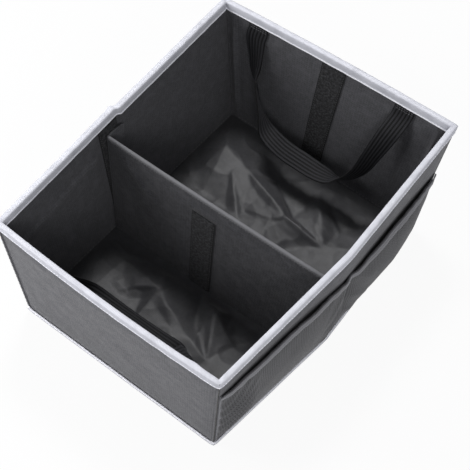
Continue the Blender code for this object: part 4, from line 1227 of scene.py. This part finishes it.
# %% [markdown]
# ## Stitches
# Every seam is a row of lockstitches. From a step away each one is a short, slightly domed bead of thread
# that dives into the cloth at both ends. Small capsules are dropped along each seam line, a stitch length
# apart, and all the beads of one thread are joined into one piece.


# %% Beads of thread
# The pitch, length and thickness of each kind of stitch.
TAPE_STITCH, BASE_STITCH = (3.4 * MM, 2.5 * MM, 0.55 * MM), (3.4 * MM, 2.6 * MM, 0.26 * MM)
FINE, TIGHT, LONG = (3.2 * MM, 2.3 * MM, 0.5 * MM), (2.8 * MM, 2.0 * MM, 0.5 * MM), (4.2 * MM, 2.6 * MM, 0.55 * MM)
# A bead's stations: along it as a share of its length, and its lift and size as shares of its thickness.
BEAD = ((-0.5, -0.55, 0.25), (-0.34, 0.05, 0.85), (0, 0.35, 1.0), (0.34, 0.05, 0.85), (0.5, -0.55, 0.25))


def stitch_beads(beads, line, pitch, length, thick):
    """Adds beads along a line of (point, outward) pairs, each bead as a ring of corners to a list."""
    lengths = [0.0]
    for (before, _), (after, _) in zip(line, line[1:]):
        lengths.append(lengths[-1] + (after - before).length)
    start, index = pitch / 2, 0
    while start + length < lengths[-1]:
        while index < len(lengths) - 2 and lengths[index + 1] < start + length / 2:
            index += 1
        span = max(1e-9, lengths[index + 1] - lengths[index])
        share = (start + length / 2 - lengths[index]) / span
        (a, out_a), (b, out_b) = line[index], line[index + 1]
        middle, way, out = a.lerp(b, share), (b - a).normalized(), out_a.lerp(out_b, share).normalized()
        side = way.cross(out).normalized()
        rings = []
        for along, lift, size in BEAD:
            core = middle + way * along * length + out * lift * thick
            rings.append([core + (side * math.cos(turn) + out * math.sin(turn)) * thick * size / 2 * 1.25
                          for turn in (k * math.pi / 3 for k in range(6))])
        beads.append(rings)
        start += pitch


def bead_piece(name, beads, look):
    """Joins all the beads of one thread into a piece."""
    points, faces = [], []
    for rings in beads:
        base = len(points)
        points += [p for ring in rings for p in ring]
        for r in range(len(rings) - 1):
            for k in range(6):
                n = (k + 1) % 6
                faces.append((base + 6 * r + k, base + 6 * r + n, base + 6 * r + 6 + n, base + 6 * r + 6 + k))
        faces.append(tuple(base + k for k in range(5, -1, -1)))
        faces.append(tuple(base + 6 * (len(rings) - 1) + k for k in range(6)))
    data = bpy.data.meshes.new(name)
    data.from_pydata(points, [], faces)
    mesh = bmesh.new()
    mesh.from_mesh(data)
    bmesh.ops.recalc_face_normals(mesh, faces=mesh.faces[:])
    mesh.to_mesh(data)
    mesh.free()
    return make_piece(name, data, look, None)


print("corners of a bead:", 6 * len(BEAD))


# %% Stitches of the tapes
def seam_line(place, values, out):
    """The settled line of a seam: place(value) is its straight-box point, out the way it faces."""
    return [(settle(place(v)), Vector(out)) for v in values]


def section_at(height, outer):
    """The ribbon's reach at a height of its outer or inner leg."""
    leg = [p for p in SECTION if (p[0] > -1.5 * MM) == outer]
    return min(leg, key=lambda p: abs(p[1] - height))[0]


tape_beads = []
TAPE_SEAM = TAPE_FOOT + 1.9 * MM
OUTWARD = {"near": (0, -1, 0.2), "far": (0, 1, 0.2), "left": (-1, 0, 0.2), "right": (1, 0, 0.2)}
for wall in WALLS:
    stations = [(w, s) for w, s, _ in rim_trip if w == wall]
    for outer in (True, False):
        level, line = (1 if outer else -1), []
        for w, share in stations:
            shift_out, lift = rim_shift(w, share, level)
            out = section_at(TAPE_SEAM, outer) + shift_out + level * 0.12 * MM
            spot = ring_spot(w, share, out, TAPE_SEAM + 0.35 * lift)
            facing = Vector(OUTWARD[w])
            line.append((settle(spot), facing if outer else Vector((-facing.x, -facing.y, facing.z))))
        stitch_beads(tape_beads, line, *TAPE_STITCH)
    base_line = []
    for w, share, _ in [t for t in base_trip if t[0] == wall]:
        shift_out, _ = base_shift(w, share, 1)
        base_line.append((settle(ring_spot(w, share, 1.5 * MM + shift_out, 2.62 * MM)), Vector((0, 0, 1))))
    stitch_beads(tape_beads, base_line, *BASE_STITCH)
bead_piece("tape_stitches", tape_beads, pale_thread)
print("tape stitches:", len(tape_beads))

# %% [markdown]
# ## Seams on the strips, handles, divider and pocket
# The loop tapes have a row down each edge, the handles a few rows across their ends, the divider one row
# under its fold, the pocket one at each end, one along its foot and one up its middle, and the floor cloth a
# row of longer stitches where it meets the walls.

# %% Strip, handle, divider and pocket stitches
dark_beads, grey_beads, floor_beads = [], [], []
INWARD = {"near": (0, 1, 0), "far": (0, -1, 0), "left": (1, 0, 0), "right": (-1, 0, 0)}
upright = spread(14 * MM, TAPE_FOOT - 1 * MM, 3 * MM)
for wall in WALLS:
    for edge_side in (-1, 1):
        a = edge_side * (STRIP_WIDTH / 2 - 1.3 * MM)
        line = seam_line(lambda z: wall_spot(wall, strip_middle(wall, z) + a, WALL + STITCH_GAP + 0.62 * MM, z),
                         upright, INWARD[wall])
        stitch_beads(dark_beads, line, *FINE)
for edge_side in (-1, 1):
    a = edge_side * (STRIP_WIDTH / 2 - 1.3 * MM) - DIVIDER_STRIP_OFF
    line = seam_line(lambda z: (a, divider_y(z) - SLEEVE - STITCH_GAP - 0.62 * MM, z),
                     spread(DIVIDER_FOOT + 1 * MM, WALL_TOP - 44 * MM, 3 * MM), (0, -1, 0))
    stitch_beads(dark_beads, line, *FINE)

seam_z = DIVIDER_TOP - FOLD_SEAM
line = seam_line(lambda x: (x, divider_y(seam_z) - SLEEVE - 0.02 * MM, seam_z),
                 spread(-SLEEVE_HALF + 2 * MM, SLEEVE_HALF - 2 * MM, 3 * MM), (0, -1, 0.3))
stitch_beads(grey_beads, line, *FINE)

for wall, ends in (("far", FAR_ENDS), ("near", NEAR_ENDS)):
    for middle in ends:
        for drop in (10.8, 13.2):
            depth = WALL + GAP + STRIP + (0.25 + 0.1 * (drop - 10.8)) * MM
            line = seam_line(lambda x: wall_spot(wall, x, depth, WALL_TOP - drop * MM),
                             spread(middle - 9 * MM, middle + 9 * MM, 2 * MM), INWARD[wall])
            stitch_beads(grey_beads, line, *TIGHT)


def on_pocket(y, up):
    """A point just off the mesh, at a share of its height."""
    height = mouth_height(y) - POCKET_FOOT
    return (POCKET_ROOM + CLOTH + pocket_stand(y, up) + 0.05 * MM, y, POCKET_FOOT + up * height)


rise = [k / 60 for k in range(1, 57)]
for y in (-POCKET_END + 1.2 * MM, POCKET_SEAM_Y, POCKET_END - 1.2 * MM):
    stitch_beads(grey_beads, seam_line(lambda up: on_pocket(y, up), rise, (1, 0, 0)), *FINE)
foot_run = spread(-POCKET_END + 2 * MM, POCKET_END - 2 * MM, 2 * MM)
stitch_beads(grey_beads, seam_line(lambda y: on_pocket(y, 0.012), foot_run, (1, 0, 0)), *FINE)

for wall in WALLS:
    half = wall_half(wall) - WALL - 3 * MM
    line = seam_line(lambda a: wall_spot(wall, a, WALL + 0.12 * MM, 5.2 * MM), spread(-half, half, 3 * MM),
                     INWARD[wall])
    stitch_beads(floor_beads, line, *LONG)

bead_piece("strip_stitches", dark_beads, dark_thread)
bead_piece("seam_stitches", grey_beads, grey_thread)
bead_piece("floor_seam_stitches", floor_beads, grey_thread)
print("beads:", len(dark_beads), len(grey_beads), len(floor_beads))

# %% [markdown]
# ## Finish
# The imported pieces that were drawn again get the same finishes.

# %% Finish
for name in sorted(nodes):
    if not nodes[name].hide_render and name not in CARDS:
        print("still plain:", name)
for name, look in (("floor_cloth", floor_look), ("rim_binding", tape_look), ("base_binding", tape_look),
                   ("pocket_mesh", mesh_look), ("pocket_hem", hem_look), ("near_handle", webbing_look),
                   ("far_handle", webbing_look), ("bottom_cover", cover_cloth), ("divider_sleeve", shaded_lining_cloth),
                   ("divider_flap_left", shaded_lining_cloth), ("divider_flap_right", shaded_lining_cloth),
                   ("divider_hook_tape_left", hook_look), ("divider_hook_tape_right", hook_look),
                   ("divider_loop_strip", loop_look)):
    nodes[name].material_slots[0].material = look
for wall in WALLS:
    nodes[wall_node(wall, "cover")].material_slots[0].material = cover_cloth
    nodes[wall_node(wall, "lining")].material_slots[0].material = shaded_lining_cloth
    nodes[wall + "_loop_strip"].material_slots[0].material = loop_look

bpy.context.view_layer.update()
